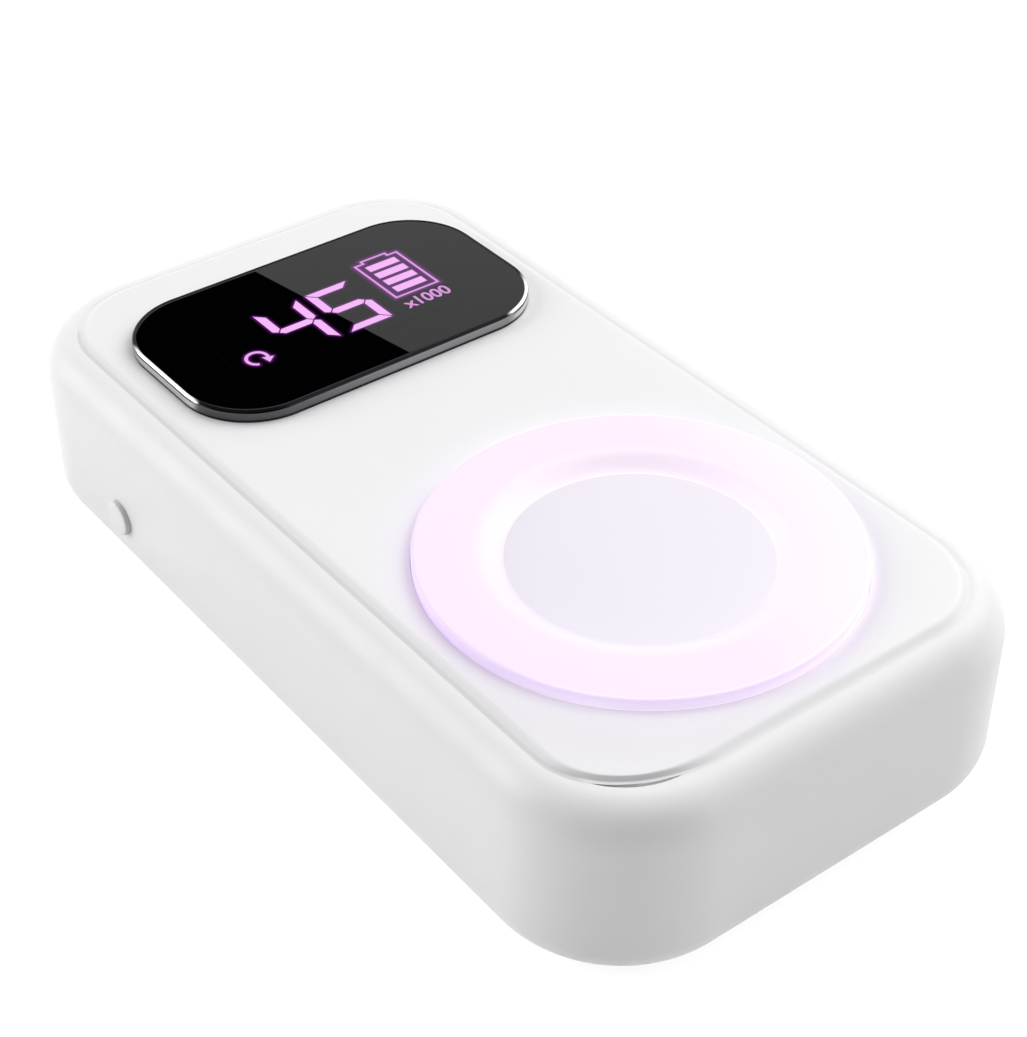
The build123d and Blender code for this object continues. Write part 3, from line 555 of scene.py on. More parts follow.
def lit_ring():
    """Translucent ring lit from below: a soft lilac face, whiter along its inner edge, and painted light
    makes it whiter to the right.

    Its side wall is a deeper lilac, with painted shade that darkens it and dims its glow on the viewer's
    left.
    Painted light and shade make its bowl glow on the far right and darker towards the viewer's left.
    """
    finish = Finish("lit_ring", Roughness=0.5, Emission_Strength=1.0)
    radius = finish.from_dial()
    x, y = finish.axis("X"), finish.axis("Y", dial_centre[1])
    near_inner = 1 - finish.ramp(radius, band_inner + 0.8, band_inner + 2.4)
    inside = 1 - finish.ramp(radius, band_inner - 0.6, band_inner + 1.1)
    # Painted light and shade: the bowl glows on the far right and is darker, with little glow, towards the
    # viewer's left
    lit_side = finish.ramp(x + y, -22.0, 16.0)
    side = finish.ramp(radius, dial_radius - 0.5, dial_radius - 0.3)
    # Painted light makes the face whiter to the right; painted shade darkens the side wall and dims its glow
    # on the viewer's left
    sideways = x - y * 0.5
    right = finish.ramp(sideways, 4.0, 28.0)
    left = 1 - finish.ramp(sideways, -30.0, -12.0)
    face = finish.blend(finish.noise(90.0, 2.0), (0.700, 0.525, 0.745), (0.715, 0.545, 0.755))
    face = finish.blend(right, face, (0.720, 0.600, 0.760))
    face = finish.blend(near_inner, face, (0.730, 0.590, 0.770))
    bowl = finish.blend(lit_side, (0.800, 0.760, 0.850), (0.800, 0.700, 0.800))
    up = finish.ramp(finish.axis("Z"), plate_top + 0.1, dial_top - 0.6)
    wall = finish.blend(up, (0.94, 0.87, 0.98), (0.78, 0.66, 0.92))
    wall = finish.blend(left, wall, (0.64, 0.54, 0.75))
    finish.tint(side, finish.blend(inside, face, bowl), wall)
    bowl_glow = finish.blend(lit_side, (0.06, 0.05, 0.09), (0.305, 0.270, 0.305))
    glow = finish.blend(inside, (0.295, 0.295, 0.300), bowl_glow)
    wall_glow = finish.blend(left, (0.37, 0.32, 0.41), (0.28, 0.23, 0.32))
    finish.feed("Emission Color", finish.blend(side, glow, wall_glow))
    finish.spark(0.004)
    return finish.material


def dial_face():
    """Moulded cap inside the ring: faintly lilac, with painted light that makes it a little brighter towards
    the right.
    """
    finish = Finish("dial_face")
    # Painted light: the flat cap is made brighter towards the right
    right = finish.ramp(finish.axis("X"), -20.0, 20.0)
    painted_light_tone = finish.blend(right, (0.840, 0.800, 0.875), (0.895, 0.850, 0.925))
    finish.tint(finish.drift() * 0.3, painted_light_tone, (0.870, 0.825, 0.900))
    finish.gloss(0.36, 0.44)
    finish.spark(0.006)
    return finish.material


def plate_moulding():
    """White moulded plate with the ring's lilac light painted on it, which fades away from the ring's edge,
    and painted shade tinted lilac to the near left of the ring.

    Painted shade makes its rise greyer, most of all down in the crease along the viewer's left, and along the
    right and far sides where the lamps light it.
    """
    finish = Finish("plate_moulding")
    radius = finish.from_dial()
    x, y, height = finish.axis("X"), finish.axis("Y"), finish.axis("Z")
    across = x + finish.axis("Y", dial_centre[1])
    # Painted light: the ring's lilac glow on the plate, fading away from the ring and strongest to its near
    # left
    far = finish.ramp(radius, dial_radius - 1.0, dial_radius + ring_halo)
    far = 1 - (1 - far) * (1 - finish.ramp(across, -24.0, 30.0) * 0.75)
    white = finish.blend(finish.drift(), (0.88, 0.88, 0.89), (0.87, 0.87, 0.88))
    face = finish.blend(far, (0.900, 0.835, 0.925), white)
    # Painted shade tinted lilac on the plate near the ring, to its near left
    painted_lilac_shade = 1 - finish.ramp(radius, dial_radius + 4.0, dial_radius + 17.0)
    painted_lilac_shade = painted_lilac_shade * (1 - finish.ramp(across, -45.0, -22.0)) * 0.8
    face = finish.blend(painted_lilac_shade, face, (0.83, 0.805, 0.85))
    # Painted shade: the rise is greyer than the face, darker down in the crease on the viewer's left, and
    # darker along the right and far sides where the lamps light it
    rise = finish.ramp(height, plate_top - 0.30, plate_top - 0.02)
    crease = 1 - finish.ramp(height, rim_high + 0.03, rim_high + 0.30)
    crease = crease * (1 - finish.ramp(x, -31.0, -30.0)) * 0.8
    low = finish.blend(crease, (0.81, 0.81, 0.82), (0.66, 0.66, 0.67))
    lit = finish.ramp(x, 30.2, 30.9) + finish.ramp(y, 62.2, 62.9)
    low = finish.blend(lit, low, (0.74, 0.74, 0.75))
    finish.tint(rise, low, face)
    finish.gloss(0.32, 0.40)
    finish.spark(0.004)
    return finish.material


def dark_chrome():
    """Dark plated rim with painted reflections: a black line of painted shade at its foot, a grey side, a
    dark roll, and a black line under the roll beneath the painted highlight.

    A painted highlight makes the roll white along the left end and round the near right corner, where the
    side is painted pale too; the side's grey is painted lighter towards the right.
    """
    finish = Finish("dark_chrome", Metallic=1.0)
    x, y, z = finish.axis("X"), finish.axis("Y", display_centre[1]), finish.axis("Z")
    half = display_width / 2
    # Painted highlight: the roll and side are painted white along the left end and round the near right
    # corner
    near = 1 - finish.ramp(y, -11.5, -8.0)
    corner = finish.ramp(x, half - 9.5, half - 6.5) * near
    left = 1 - finish.ramp(x, 0.4 - half, 1.0 - half)
    left = left * finish.ramp(y, -9.0, -7.2)
    left = left * (1 - finish.ramp(y, 7.0, 11.0))
    painted_highlight = corner + left
    # Painted shade: a black line at the foot, and a dark line under the highlighted roll
    foot = 1 - finish.ramp(z, plate_top + 0.32, plate_top + 0.48)
    roll_low = bezel_high[2] - bezel_roll_tall
    roll = finish.ramp(z, roll_low + 0.1, roll_low + 0.3)
    line = finish.ramp(z, roll_low - 0.1, roll_low)
    line = line * (1 - finish.ramp(z, roll_low + 0.26, roll_low + 0.34))
    # Painted reflection: the side's grey, lighter towards the right, and the dark roll
    grey = finish.blend(finish.ramp(x, -26.0, 6.0), (0.100, 0.094, 0.102), (0.285, 0.275, 0.285))
    side = finish.blend(painted_highlight, grey, (0.60, 0.59, 0.60))
    top = finish.blend(painted_highlight, (0.006, 0.006, 0.007), (0.98, 0.98, 0.98))
    body = finish.blend(roll, side, top)
    body = finish.blend(line * painted_highlight * 0.9, body, (0.014, 0.014, 0.015))
    finish.tint(foot, body, (0.030, 0.028, 0.032))
    streak = finish.noise(700.0)
    finish.feed("Roughness", finish.ramp(streak, 0.35, 0.75, 0.12, 0.20))
    finish.bump(streak, 0.002)
    return finish.material


def black_glass():
    """Polished black lens with the faintest unevenness of polish. Where a sheet carries the painted glow, it
    glows lilac round the readout's marks.
    """
    finish = Finish("black_glass", IOR=1.345, Emission_Strength=1.0)
    smear = finish.noise(60.0)
    finish.tint(smear, (0.0004, 0.0004, 0.0008), (0.0006, 0.0006, 0.0010))
    finish.feed("Roughness", finish.ramp(smear, 0.3, 0.8, 0.0, 0.006))
    painted_glow = finish.painted("painted_glow")
    finish.feed("Emission Color", finish.blend(painted_glow, (0.0, 0.0, 0.0), (0.13, 0.012, 0.17)))
    return finish.material


def lit_marks():
    """Lilac light of the readout, with the slight mottling of its diffuser. Thin lines are dimmer."""
    finish = Finish("lit_marks", Base_Color=(0.02, 0.01, 0.02, 1.0), Roughness=0.4, Emission_Strength=1.0)
    bright = finish.blend(finish.noise(1500.0, 2.0), (0.81, 0.38, 0.85), (0.86, 0.45, 0.90))
    finish.feed("Emission Color", finish.blend(finish.painted("level"), (0.45, 0.10, 0.50), bright))
    return finish.material


def key_moulding():
    """The button's white plastic, with painted shade that makes it greyer down its side where the wall shades
    it.
    """
    finish = Finish("key_moulding")
    # Painted shade down the button's side, near the wall
    depth = finish.ramp(finish.axis("X"), key_face + 0.10, key_face + 0.30)
    white = finish.blend(finish.noise(160.0), (0.86, 0.86, 0.87), (0.85, 0.85, 0.86))
    finish.tint(depth, white, (0.62, 0.62, 0.63))
    finish.gloss(0.38, 0.46)
    finish.spark(0.006)
    return finish.material


def metal(name, colour, roughness, grain=900.0, stretch=(1.0, 1.0, 1.0)):
    """Bare metal with fine marks that a stretched noise draws along one direction."""
    finish = Finish(name, Metallic=1.0)
    mark = finish.noise(grain, 4.0, finish.stretched(stretch))
    finish.tint(mark, colour, [part * 0.8 for part in colour])
    finish.gloss(roughness - 0.06, roughness + 0.08, mark)
    finish.bump(mark, 0.003)
    return finish.material


def circuit_board():
    """Green solder mask over copper tracks: stepped lines of a brick pattern, with pale pads."""
    finish = Finish("circuit_board", Roughness=0.35)
    brick = {"Vector": finish.place, "Scale": 150.0, "Mortar Size": 0.06,
             "Brick Width": 0.9, "Row Height": 0.28}
    tracks = finish.node("ShaderNodeTexBrick", values=brick, output="Fac")
    pads = finish.cells(320.0) < 0.14
    mask = finish.blend(tracks, (0.012, 0.085, 0.035), (0.03, 0.17, 0.07))
    finish.tint(pads, mask, (0.62, 0.60, 0.50))
    finish.bump(tracks + pads, 0.03)
    return finish.material


def foot_rubber():
    """Matt grey rubber with a pebbled face."""
    finish = Finish("foot_rubber")
    dust = finish.noise(300.0, 4.0)
    finish.tint(dust, (0.24, 0.24, 0.25), (0.30, 0.30, 0.31))
    finish.gloss(0.75, 0.9, dust)
    finish.bump(finish.cells(2200.0), 0.03)
    return finish.material


def cell_sleeve():
    """Blue shrink sleeve with long soft wrinkles and bare metal at the cell's ends."""
    finish = Finish("cell_sleeve", Roughness=0.28)
    wrinkle = finish.noise(420.0, 3.0, finish.stretched((0.15, 1.0, 1.0)))
    along = finish.axis("X")
    bare = along.math("ABSOLUTE", along) > span("battery_cells")[1][0] - 0.6
    sleeve = finish.blend(wrinkle, (0.010, 0.075, 0.20), (0.016, 0.11, 0.27))
    finish.tint(bare, sleeve, (0.55, 0.54, 0.52))
    finish.feed("Metallic", bare)
    finish.bump(wrinkle, 0.02)
    return finish.material


def flat_ribbon():
    """Flat cable: pale film over a row of fine conductors, one to each millimetre."""
    finish = Finish("flat_ribbon", Roughness=0.3)
    phase = finish.axis("X") * 6.283
    film = finish.ramp(phase.math("SINE", phase), -0.2, 0.4)
    finish.tint(film, (0.62, 0.62, 0.58), (0.50, 0.36, 0.20))
    finish.bump(film, 0.02)
    return finish.material


def led_face():
    """Pale LED body round a yellow phosphor window."""
    finish = Finish("led_face", Roughness=0.35)
    grain = finish.noise(1800.0)
    finish.tint(grain, (0.80, 0.72, 0.32), (0.86, 0.80, 0.55))
    finish.bump(grain, 0.005)
    return finish.material


def clear_guide():
    """Clear plastic light guide with a frosted skin."""
    finish = Finish("clear_guide", Transmission_Weight=0.55, IOR=1.49)
    frost = finish.noise(1400.0)
    finish.tint(frost, (0.86, 0.87, 0.90), (0.92, 0.93, 0.95))
    finish.gloss(0.30, 0.45, frost)
    finish.bump(frost, 0.01)
    return finish.material


finishes = {
    "white_case": moulded("case_moulding", (0.86, 0.86, 0.87), 0.42, 0.985),
    "white_plate": plate_moulding(),
    "glow_ring": lit_ring(),
    "dial_white": dial_face(),
    "hub_plastic": moulded("hub_moulding", (0.60, 0.60, 0.62), 0.45),
    "chrome_trim": dark_chrome(),
    "black_lens": black_glass(),
    "lit_bars": lit_marks(),
    "module_black": moulded("module_moulding", (0.012, 0.012, 0.014), 0.5, 0.8),
    "foot_rubber": foot_rubber(),
    "screw_steel": metal("zinc_screws", (0.46, 0.46, 0.48), 0.32),
    "nickel_strip": metal("nickel_strip", (0.55, 0.53, 0.48), 0.30, 700.0, (1.0, 0.1, 1.0)),
    "board": circuit_board(),
    "chip_black": moulded("chip_moulding", (0.014, 0.014, 0.015), 0.55, 0.8, 3200.0),
    "led_face": led_face(),
    "clear_guide": clear_guide(),
    "cell_wrap": cell_sleeve(),
    "cradle_plastic": moulded("cradle_moulding", (0.03, 0.03, 0.033), 0.5, 0.85),
    "adhesive": moulded("foam_tape", (0.02, 0.02, 0.022), 0.85, 0.7, 1500.0, 0.03),
    "ribbon": flat_ribbon(),
    "steel_shaft": metal("turned_steel", (0.52, 0.52, 0.54), 0.25, 900.0, (1.0, 1.0, 8.0)),
    "socket_metal": metal("socket_plating", (0.60, 0.60, 0.61), 0.18),
    "socket_black": moulded("socket_moulding", (0.016, 0.016, 0.018), 0.42, 0.8),
    "capacitor_can": metal("drawn_can", (0.66, 0.66, 0.69), 0.30, 900.0, (1.0, 1.0, 0.1)),
    "choke": moulded("choke_body", (0.05, 0.05, 0.054), 0.7, 0.8, 1200.0, 0.02),
}


# Case


def corner_places(node, radius):
    """Centres of four equal round pieces at the corners of a node's box."""
    low, high = span(node)
    return [(x, y) for x in (low[0] + radius, high[0] - radius) for y in (low[1] + radius, high[1] - radius)]


foot_places = corner_places("rubber_feet", foot_radius)
screw_places = corner_places("case_screws", head_radius)


def hole_tool(radius, start, stop, centre, along, flare=0.22):
    """Round cutter along an axis whose open end flares by a quarter round, to soften the hole's edge."""
    inward = 1 if stop > start else -1
    mouth = arc((radius + flare, start + inward * flare), (-flare, -inward * flare), 0, 90, 5)
    section = profile((0, stop), (radius, stop), mouth, (radius + flare, start - inward), (0, start - inward))
    return turned(section, centre, 64, along)


def slot_tool(width, height, centre, depth, flare=0.2):
    """Stadium-shaped cutter through the far wall, flared at its mouth by a quarter round."""
    plan = rounded_plan(width, height, height / 2 - 0.01, steps=12)
    mouth = arc((-flare, -flare), (flare, flare), 0, 90, 5)
    return laid_down(carried(plan, profile((0, -depth), mouth, (-flare, 1.0)))) + np.array(centre)


def column_webs(edge):
    """Ribs from the corner columns out into the wall, along the diagonals, to an edge of (inset, height)."""
    webs = []
    for centre in screw_places:
        out = np.sign(centre) / math.sqrt(2)
        side = np.array([-out[1], out[0]]) * web_thickness / 2
        rows = []
        for inset, height in edge:
            far = centre + (case_corner - inset - column_reach) * out
            loop = np.array([centre - side, far - side, far + side, centre + side])
            rows.append(np.column_stack([loop, np.full(4, height)]))
        webs.append(np.stack(rows))
    return webs


def post(centre, radius, root, tip, bore=pilot, deep=pilot_deep):
    """Round post from its root to its tip, with a blind hole for a screw in the tip."""
    floor = tip + deep * np.sign(root - tip)
    section = profile((0, root), (radius, root), (radius, tip), (bore, tip), (bore, floor), (0, floor))
    return turned(section, (*centre, 0), 32)


def case_sheet():
    """The case wall's surface, once round its section, as rings that run round the case.

    The straight wall runs up from the seam and a quarter ellipse rolls the shoulder in to the rim. A small
    round leads into the opening, a ledge carries the plate, and the inside follows at the wall's thickness.
    """
    outside = rounded_plan(case_width, case_length, case_corner)
    opening = rounded_plan(plate_width + 2 * seam_gap, plate_length + 2 * seam_gap, plate_corner + seam_gap,
                           near_corner=opening_near_corner)
    ledge_in = ledge_width + seam_gap
    inner_roll = ledge_low - shoulder_start
    outer = profile(
        (0, seam), (0, seam + guard), (0, shoulder_start - 1.5), (0, shoulder_start - 0.1),
        arc((shoulder_in, shoulder_start), (-shoulder_in, shoulder_tall), 0, 90, 30))
    rim = profile(
        (-rim_round - 0.1, rim_high),
        arc((-rim_round, rim_high - rim_round), (rim_round, rim_round), 90, 0, 6),
        (0, ledge_top), (ledge_in, ledge_top), (ledge_in, ledge_low))
    inner = profile(
        arc((case_wall + shoulder_in, shoulder_start), (-shoulder_in, inner_roll), 90, 0, 14),
        (case_wall, seam))
    return np.concatenate([carried(outside, outer), carried(opening, rim), carried(outside, inner)])


def case_piece():
    """The case moulding, with its holes for the power button, the handpiece socket and the charge port."""
    side, end = case_width / 2, case_length / 2
    key, collar, port = middle_of("power_button"), middle_of("socket_collar"), middle_of("charge_shell")
    holes = [
        hole_tool(key_radius + hole_gap, -side, hole_deep - side, (0, key[1], key[2]), 0, 0.04),
        hole_tool(collar_radii[1] + hole_gap, end, end - hole_deep, (collar[0], 0, collar[2]), 1, 0.25),
        slot_tool(*port_opening, (port[0], end, port[2]), hole_deep),
    ]
    web_in = case_wall - sink
    inside = column_webs([(web_in, cover_lip_top + cover_lip_gap), (web_in, ledge_low)])
    for centre in screw_places:
        inside.append(post(centre, column_radius, ledge_low, seam, column_bore, column_bore_deep))
    shell = cut_away(mesh_of(case_sheet(), looped=True), holes)
    put("case_shell", joined(shell, mesh_of(*inside)), "casing", "white_case", "main_case")


def cover_pan():
    """The cover's pan, which rolls in to a flat underside, with recesses for the feet and the screws."""
    inner_in, inner_tall = base_roll_in - case_wall, base_roll_tall - floor_thickness
    flat_in = case_corner - 0.8
    section = profile(
        (flat_in, cover_low), (base_roll_in + guard, cover_low),
        arc((base_roll_in, cover_low + base_roll_tall), (-base_roll_in, -base_roll_tall), 90, 0, 22),
        (case_wall, seam),
        arc((base_roll_in, cover_floor + inner_tall), (-inner_in, -inner_tall), 0, 90, 12),
        (flat_in, cover_floor))
    pocket = foot_radius + foot_recess_gap
    holes = [hole_tool(pocket, cover_low, cover_low + foot_recess_deep, (*centre, 0), 2, 0.12)
             for centre in foot_places]
    holes += [hole_tool(head_recess, cover_low, cover_floor + 0.5, (*centre, 0), 2, 0.2)
              for centre in screw_places]
    return cut_away(mesh_of(carried(rounded_plan(case_width, case_length, case_corner), section)), holes)


def cover_lip():
    """The lip that stands up just inside the case's wall, with a notch for the power button's switch."""
    outer = case_wall + cover_lip_gap
    inner = outer + cover_lip_thickness
    root = seam - cover_lip_root
    section = profile((outer, root), (outer, cover_lip_top), (inner, cover_lip_top), (inner, root))
    key = middle_of("power_button")
    side = -case_width / 2
    notch = hole_tool(notch_radius, side, side + notch_deep, (0, key[1], key[2]), 0)
    ring = carried(rounded_plan(case_width, case_length, case_corner), section)
    return cut_away(mesh_of(ring, looped=True), [notch])


def cover_inside():
    """The cover's ribs, which follow the middle of the rolled wall, its screw tubes and its board's posts."""
    mid_roll = case_wall / 2 - base_roll_in, floor_thickness / 2 - base_roll_tall
    solid = column_webs(arc((base_roll_in, seam), mid_roll, 58, 0, 8))
    low, high = span("power_board_screws")
    left, right = low[0] + board_screw_radius, high[0] - board_screw_radius
    front, back = low[1] + board_screw_radius, high[1] - board_screw_radius
    for centre in [(right, power_screw_row), (left, power_screw_row), (0.0, front), (0.0, back)]:
        solid.append(post(centre, post_radius, cover_floor - sink, span("power_board")[0][2]))
    seat = cover_floor + screw_seat
    cup, root, shelf = head_recess + head_cup_wall, cover_floor - head_cup_sink, seat + screw_seat_thickness
    tube = profile((head_recess, root), (cup, root), (cup, shelf), (column_radius, shelf),
                   (column_radius, seam), (screw_hole, seam), (screw_hole, seat), (head_recess, seat))
    tubes = [turned(tube, (*centre, 0), 48) for centre in screw_places]
    return joined(mesh_of(*solid), mesh_of(*tubes, looped=True))


def cover_piece():
    """The bottom cover."""
    whole = joined(cover_pan(), cover_lip(), cover_inside())
    put("cover_shell", whole, "casing", "white_case", "bottom_cover")


def feet_piece():
    """Four rubber pads with a rounded edge and a shallow dished face."""
    high = span("rubber_feet")[1][2]
    face = foot_radius - foot_round
    section = profile((0, foot_dish), (foot_dish_radius - foot_round, foot_dish / 2),
                      (foot_dish_radius, 0), (face, 0),
                      arc((face, foot_round), (foot_round, foot_round), -90, 0, 5),
                      (foot_radius, high), (0, high))
    pads = [turned(section, (*centre, 0), 48) for centre in foot_places]
    put("foot_pads", mesh_of(*pads), "casing", "foot_rubber", "rubber_feet")


def screw_head(centre, seat):
    """Pan head with a cross recess: its face sinks where |x| or |y| is small and the radius is small.

    height = seat - crown(r) + recess(r) * cross(x, y), over a grid of radius and angle.
    """
    slot_half, slot_bevel, slot_reach, slot_fade, slot_deep = 0.30, 0.10, 1.45, 0.25, 0.9
    crown_drop, thread_radius, thread_tall, tip_radius, tip_tall = 0.35, 1.25, 11.0, 0.6, 0.6
    radius = np.concatenate([np.linspace(0, 1.5, 22), np.linspace(1.6, head_radius, 8)])[:, None]
    angle = np.linspace(0, 2 * np.pi, 96, endpoint=False)[None]
    x, y = radius * np.cos(angle), radius * np.sin(angle)
    crown = head_tall - crown_drop * (radius / head_radius) ** 4
    arm = np.minimum(np.abs(x), np.abs(y))
    slot = np.clip((slot_half - arm) / slot_bevel, 0, 1) * np.clip((slot_reach - radius) / slot_fade, 0, 1)
    face = np.stack([x, y, seat - crown + slot_deep * slot], 2)
    end = seat + thread_tall
    shank = profile((head_radius, seat), (thread_radius, seat), (thread_radius, end),
                    (tip_radius, end + tip_tall))
    return np.concatenate([face, turned(shank, (0, 0, 0), 96)]) + np.array([*centre, 0.0])


def screws_piece():
    """The four case screws, seen in the counterbores of the cover."""
    seat = span("case_screws")[0][2] + head_tall
    heads = [screw_head(centre, seat) for centre in screw_places]
    put("cover_screws", mesh_of(*heads), "casing", "screw_steel", "case_screws")


# Top plate


def ease(s):
    """Eases in and out from 0 to 1: 3 s squared - 2 s cubed."""
    return 3 * s ** 2 - 2 * s ** 3


def plate_sheet():
    """The plate's surface: a soft rise to its face, and a thin lip on its edge that hides the seam.

    At the corner nearest the viewer the lip draws back and bares the seam, and the rise draws back from the
    lip's edge. The rise runs between two plans, foot + (face - foot) * s, and its height eases in and out.
    """
    grown = plate_width + 2 * plate_lip, plate_length + 2 * plate_lip, plate_corner + plate_lip
    shrunk = [size - 2 * rise_width for size in grown[:2]]
    body = rounded_plan(plate_width, plate_length, plate_corner)
    lip = rounded_plan(*grown, near_corner=lip_near_corner)
    foot = rounded_plan(*grown, near_corner=rise_near_corner)
    face = rounded_plan(*shrunk, grown[2] - rise_width, near_corner=face_near_corner)
    lip_low, lip_high = rim_high + plate_lip_low, rim_high + plate_lip_high
    s = np.linspace(0, 1, 15)[:, None, None]
    flat = foot[0] + (face[0] - foot[0]) * s
    tall = lip_high + (plate_top - lip_high) * ease(s) + 0 * flat[..., :1]
    return np.concatenate([
        carried(body, profile((4.0, plate_low), (guard, plate_low), (0, plate_low), (0, lip_low))),
        carried(lip, profile((0, lip_low), (0, lip_high))),
        np.concatenate([flat, tall], 2),
        carried(face, profile((guard, plate_top), (2.0, plate_top)))])


def well_windows(level):
    """Cutters for the arc-shaped light windows in the well's floor, between straight-sided spokes."""
    share = 2 * np.pi / window_count
    tools = []
    for index in range(window_count):
        loop = []
        for radius, way in zip(window_radii[::-1], (1, -1)):
            spoke = math.asin(window_spoke / 2 / radius)
            t = np.linspace(share * index + spoke, share * (index + 1) - spoke, 17)[::way]
            loop.append(radius * np.stack([np.cos(t), np.sin(t)], 1) + dial_centre[:2])
        tools.append(standing(np.concatenate(loop), level - 3, level + 1))
    return tools


def plate_piece():
    """The top plate, with the dial's well, a window under the display and the posts of three boards."""
    well_radius = dial_radius + well_gap
    well = hole_tool(well_radius, plate_top, plate_low - 2, dial_axis, 2, 0.2)
    window_in = bezel_roll_in + bezel_rim + bezel_ledge_width - bezel_foot_in
    window = carried(display_plan(window_in), profile((0, plate_low - 2), (0, plate_top + 2)))
    panel = cut_away(mesh_of(plate_sheet()), [well, window])
    level = span("light_guide")[1][2]
    under = level - well_floor
    cup = profile((encoder_clearance, under), (well_radius + well_wall, under),
                  (well_radius + well_wall, plate_low), (well_radius, plate_low), (well_radius, level),
                  (encoder_clearance, level))
    cup_mesh = cut_away(mesh_of(turned(cup, dial_axis), looped=True), well_windows(level))
    posts = []
    for board, radius, root, deep in (("control_board", post_radius, plate_low, pilot_deep),
                                      ("display_board", 2.2, plate_low, 2.0), ("led_board", 2.0, under, 2.0)):
        for centre in corner_places(board + "_screws", board_screw_radius):
            posts.append(post(centre, radius, root, span(board)[1][2], deep=deep))
    put("control_panel", joined(panel, cup_mesh, mesh_of(*posts)), "casing", "white_plate", "top_plate")


# Dial


def ring_piece():
    """The lit ring: a crowned band with a rounded outer edge, and a slope that eases down to the cap."""
    side_top = dial_top - ring_outer_round
    crown_edge = dial_top - ring_crown
    outer_crown, inner_crown = dial_radius - ring_outer_round, band_inner + ring_inner_round
    across = np.linspace(outer_crown, inner_crown, 15)[1:]
    share = (across - inner_crown) / (outer_crown - inner_crown)
    crown = np.stack([across, crown_edge + ring_crown * 4 * share * (1 - share)], 1)
    low = ring_low[2]
    cap_radius = cap_high[0] + cap_gap
    s = np.linspace(0, 1, 19)[1:]
    drop = crown_edge - (dial_top - cap_drop)
    slope = np.stack([inner_crown + (cap_radius - inner_crown) * s, crown_edge - drop * ease(s)], 1)
    cavity, roof = (hub_flange_radius + ring_shell, dial_radius - ring_shell), dial_top - ring_shell
    section = profile(
        (dial_radius, low), (dial_radius, side_top - 0.2),
        arc((outer_crown, side_top), (ring_outer_round, crown_edge - side_top), 0, 90, 10), crown, slope,
        (cap_radius, low), (cavity[0], low), (cavity[0], roof), (cavity[1], roof), (cavity[1], low))
    put("ring_dial", mesh_of(turned(section, dial_axis, 192), looped=True), "dial", "glow_ring", "dial_ring")


def cap_piece():
    """The dished cap: height = middle + dish * (r / radius) squared, with a softened rim."""
    radius = cap_high[0]
    edge = dial_top - cap_drop
    across = np.linspace(0, radius - cap_round, 16)
    dish = np.stack([across, edge - cap_dish * (1 - (across / radius) ** 2)], 1)
    section = profile(dish, (radius, edge), (radius, cap_low[2]), (0, cap_low[2]))
    put("dial_dish", mesh_of(turned(section, dial_axis)), "dial", "dial_white", "dial_cap")


# Display


def bezel_piece():
    """The rim of the display: an upright side, a quarter-ellipse roll, a narrow top and a ledge inside."""
    top, low = bezel_high[2], bezel_low[2]
    rim = bezel_roll_in + bezel_rim
    ledge = rim + bezel_ledge_width
    foot = ledge - bezel_foot_in
    step = plate_top + bezel_ledge
    roll_low = top - bezel_roll_tall
    section = profile(
        (0, plate_top), (0, plate_top + 0.12), (0, roll_low - 0.1),
        arc((bezel_roll_in, roll_low), (-bezel_roll_in, bezel_roll_tall), 0, 90, 12),
        (bezel_roll_in, top), (rim, top - bezel_rim), (rim, step), (ledge, step), (ledge, low), (foot, low),
        (foot, plate_top))
    put("display_rim", mesh_of(carried(display_plan(0), section), looped=True),
        "casing", "chrome_trim", "display_bezel")


def lens_piece():
    """The black lens: a flat face that rounds over at its edge."""
    low, top = lens_low[2], lens_high[2]
    section = profile(
        (3.0, low), (0, low), (0, top - lens_roll),
        arc((lens_roll, top - lens_roll), (-lens_roll, lens_roll), 0, 90, 8),
        (lens_roll + guard, top), (3.0, top))
    plan = display_plan(bezel_roll_in + bezel_rim + lens_gap)
    put("readout_lens", mesh_of(carried(plan, section)), "casing", "black_lens", "display_lens")


def flat_marks(name, outlines, brightness=1.0):
    """Thin raised marks on the lens from outlines of (x, y), each a closed loop that runs once round."""
    level = lens_high[2]
    mesh = mesh_of(*[standing(outline, level, level + mark_thick) for outline in outlines])
    paint(mesh, "level", np.full(len(mesh.vertices), brightness))
    put(name, mesh, "casing", "lit_bars")


def painted_glow_piece(outlines):
    """Sheet on the lens that carries a faint painted glow round the marks.

    glow(x, y) = exp(-(d / spread) squared), where d is the distance to the nearest mark and the spread is
    given with each mark. Marks are convex, so a point is inside where it lies on the same side of all edges.
    """
    step, gap, thickness = 0.2, 0.002, mark_thick / 3
    left, right, below, above = -19.5, 18.6, 9.0, 11.0
    x = np.arange(left, right, step)
    y = np.arange(display_centre[1] - below, display_centre[1] + above, step)
    lower = np.stack(np.meshgrid(x, y, [lens_high[2] + gap], indexing="ij"), -1)[:, :, 0]
    upper = lower + (0, 0, thickness)
    mesh = mesh_of(np.concatenate([upper, lower[:, ::-1]], 1))
    points = points_of(mesh)[:, :2] / MM
    nearest = np.full(len(points), 100.0)
    for outline, spread in outlines:
        loop = np.array(outline, float)
        sides = []
        for start, stop in zip(loop, np.roll(loop, -1, 0)):
            edge, reach = stop - start, points - start
            share = np.clip(reach @ edge / (edge @ edge), 0, 1)
            nearest = np.minimum(nearest, np.linalg.norm(reach - share[:, None] * edge, axis=1) / spread)
            sides.append(edge[0] * reach[:, 1] - edge[1] * reach[:, 0])
        inside = (np.min(sides, 0) > 0) | (np.max(sides, 0) < 0)
        nearest[inside] = 0
    paint(mesh, "painted_glow", np.exp(-nearest ** 2))
    put("readout_painted_glow", mesh, "casing", "black_lens")


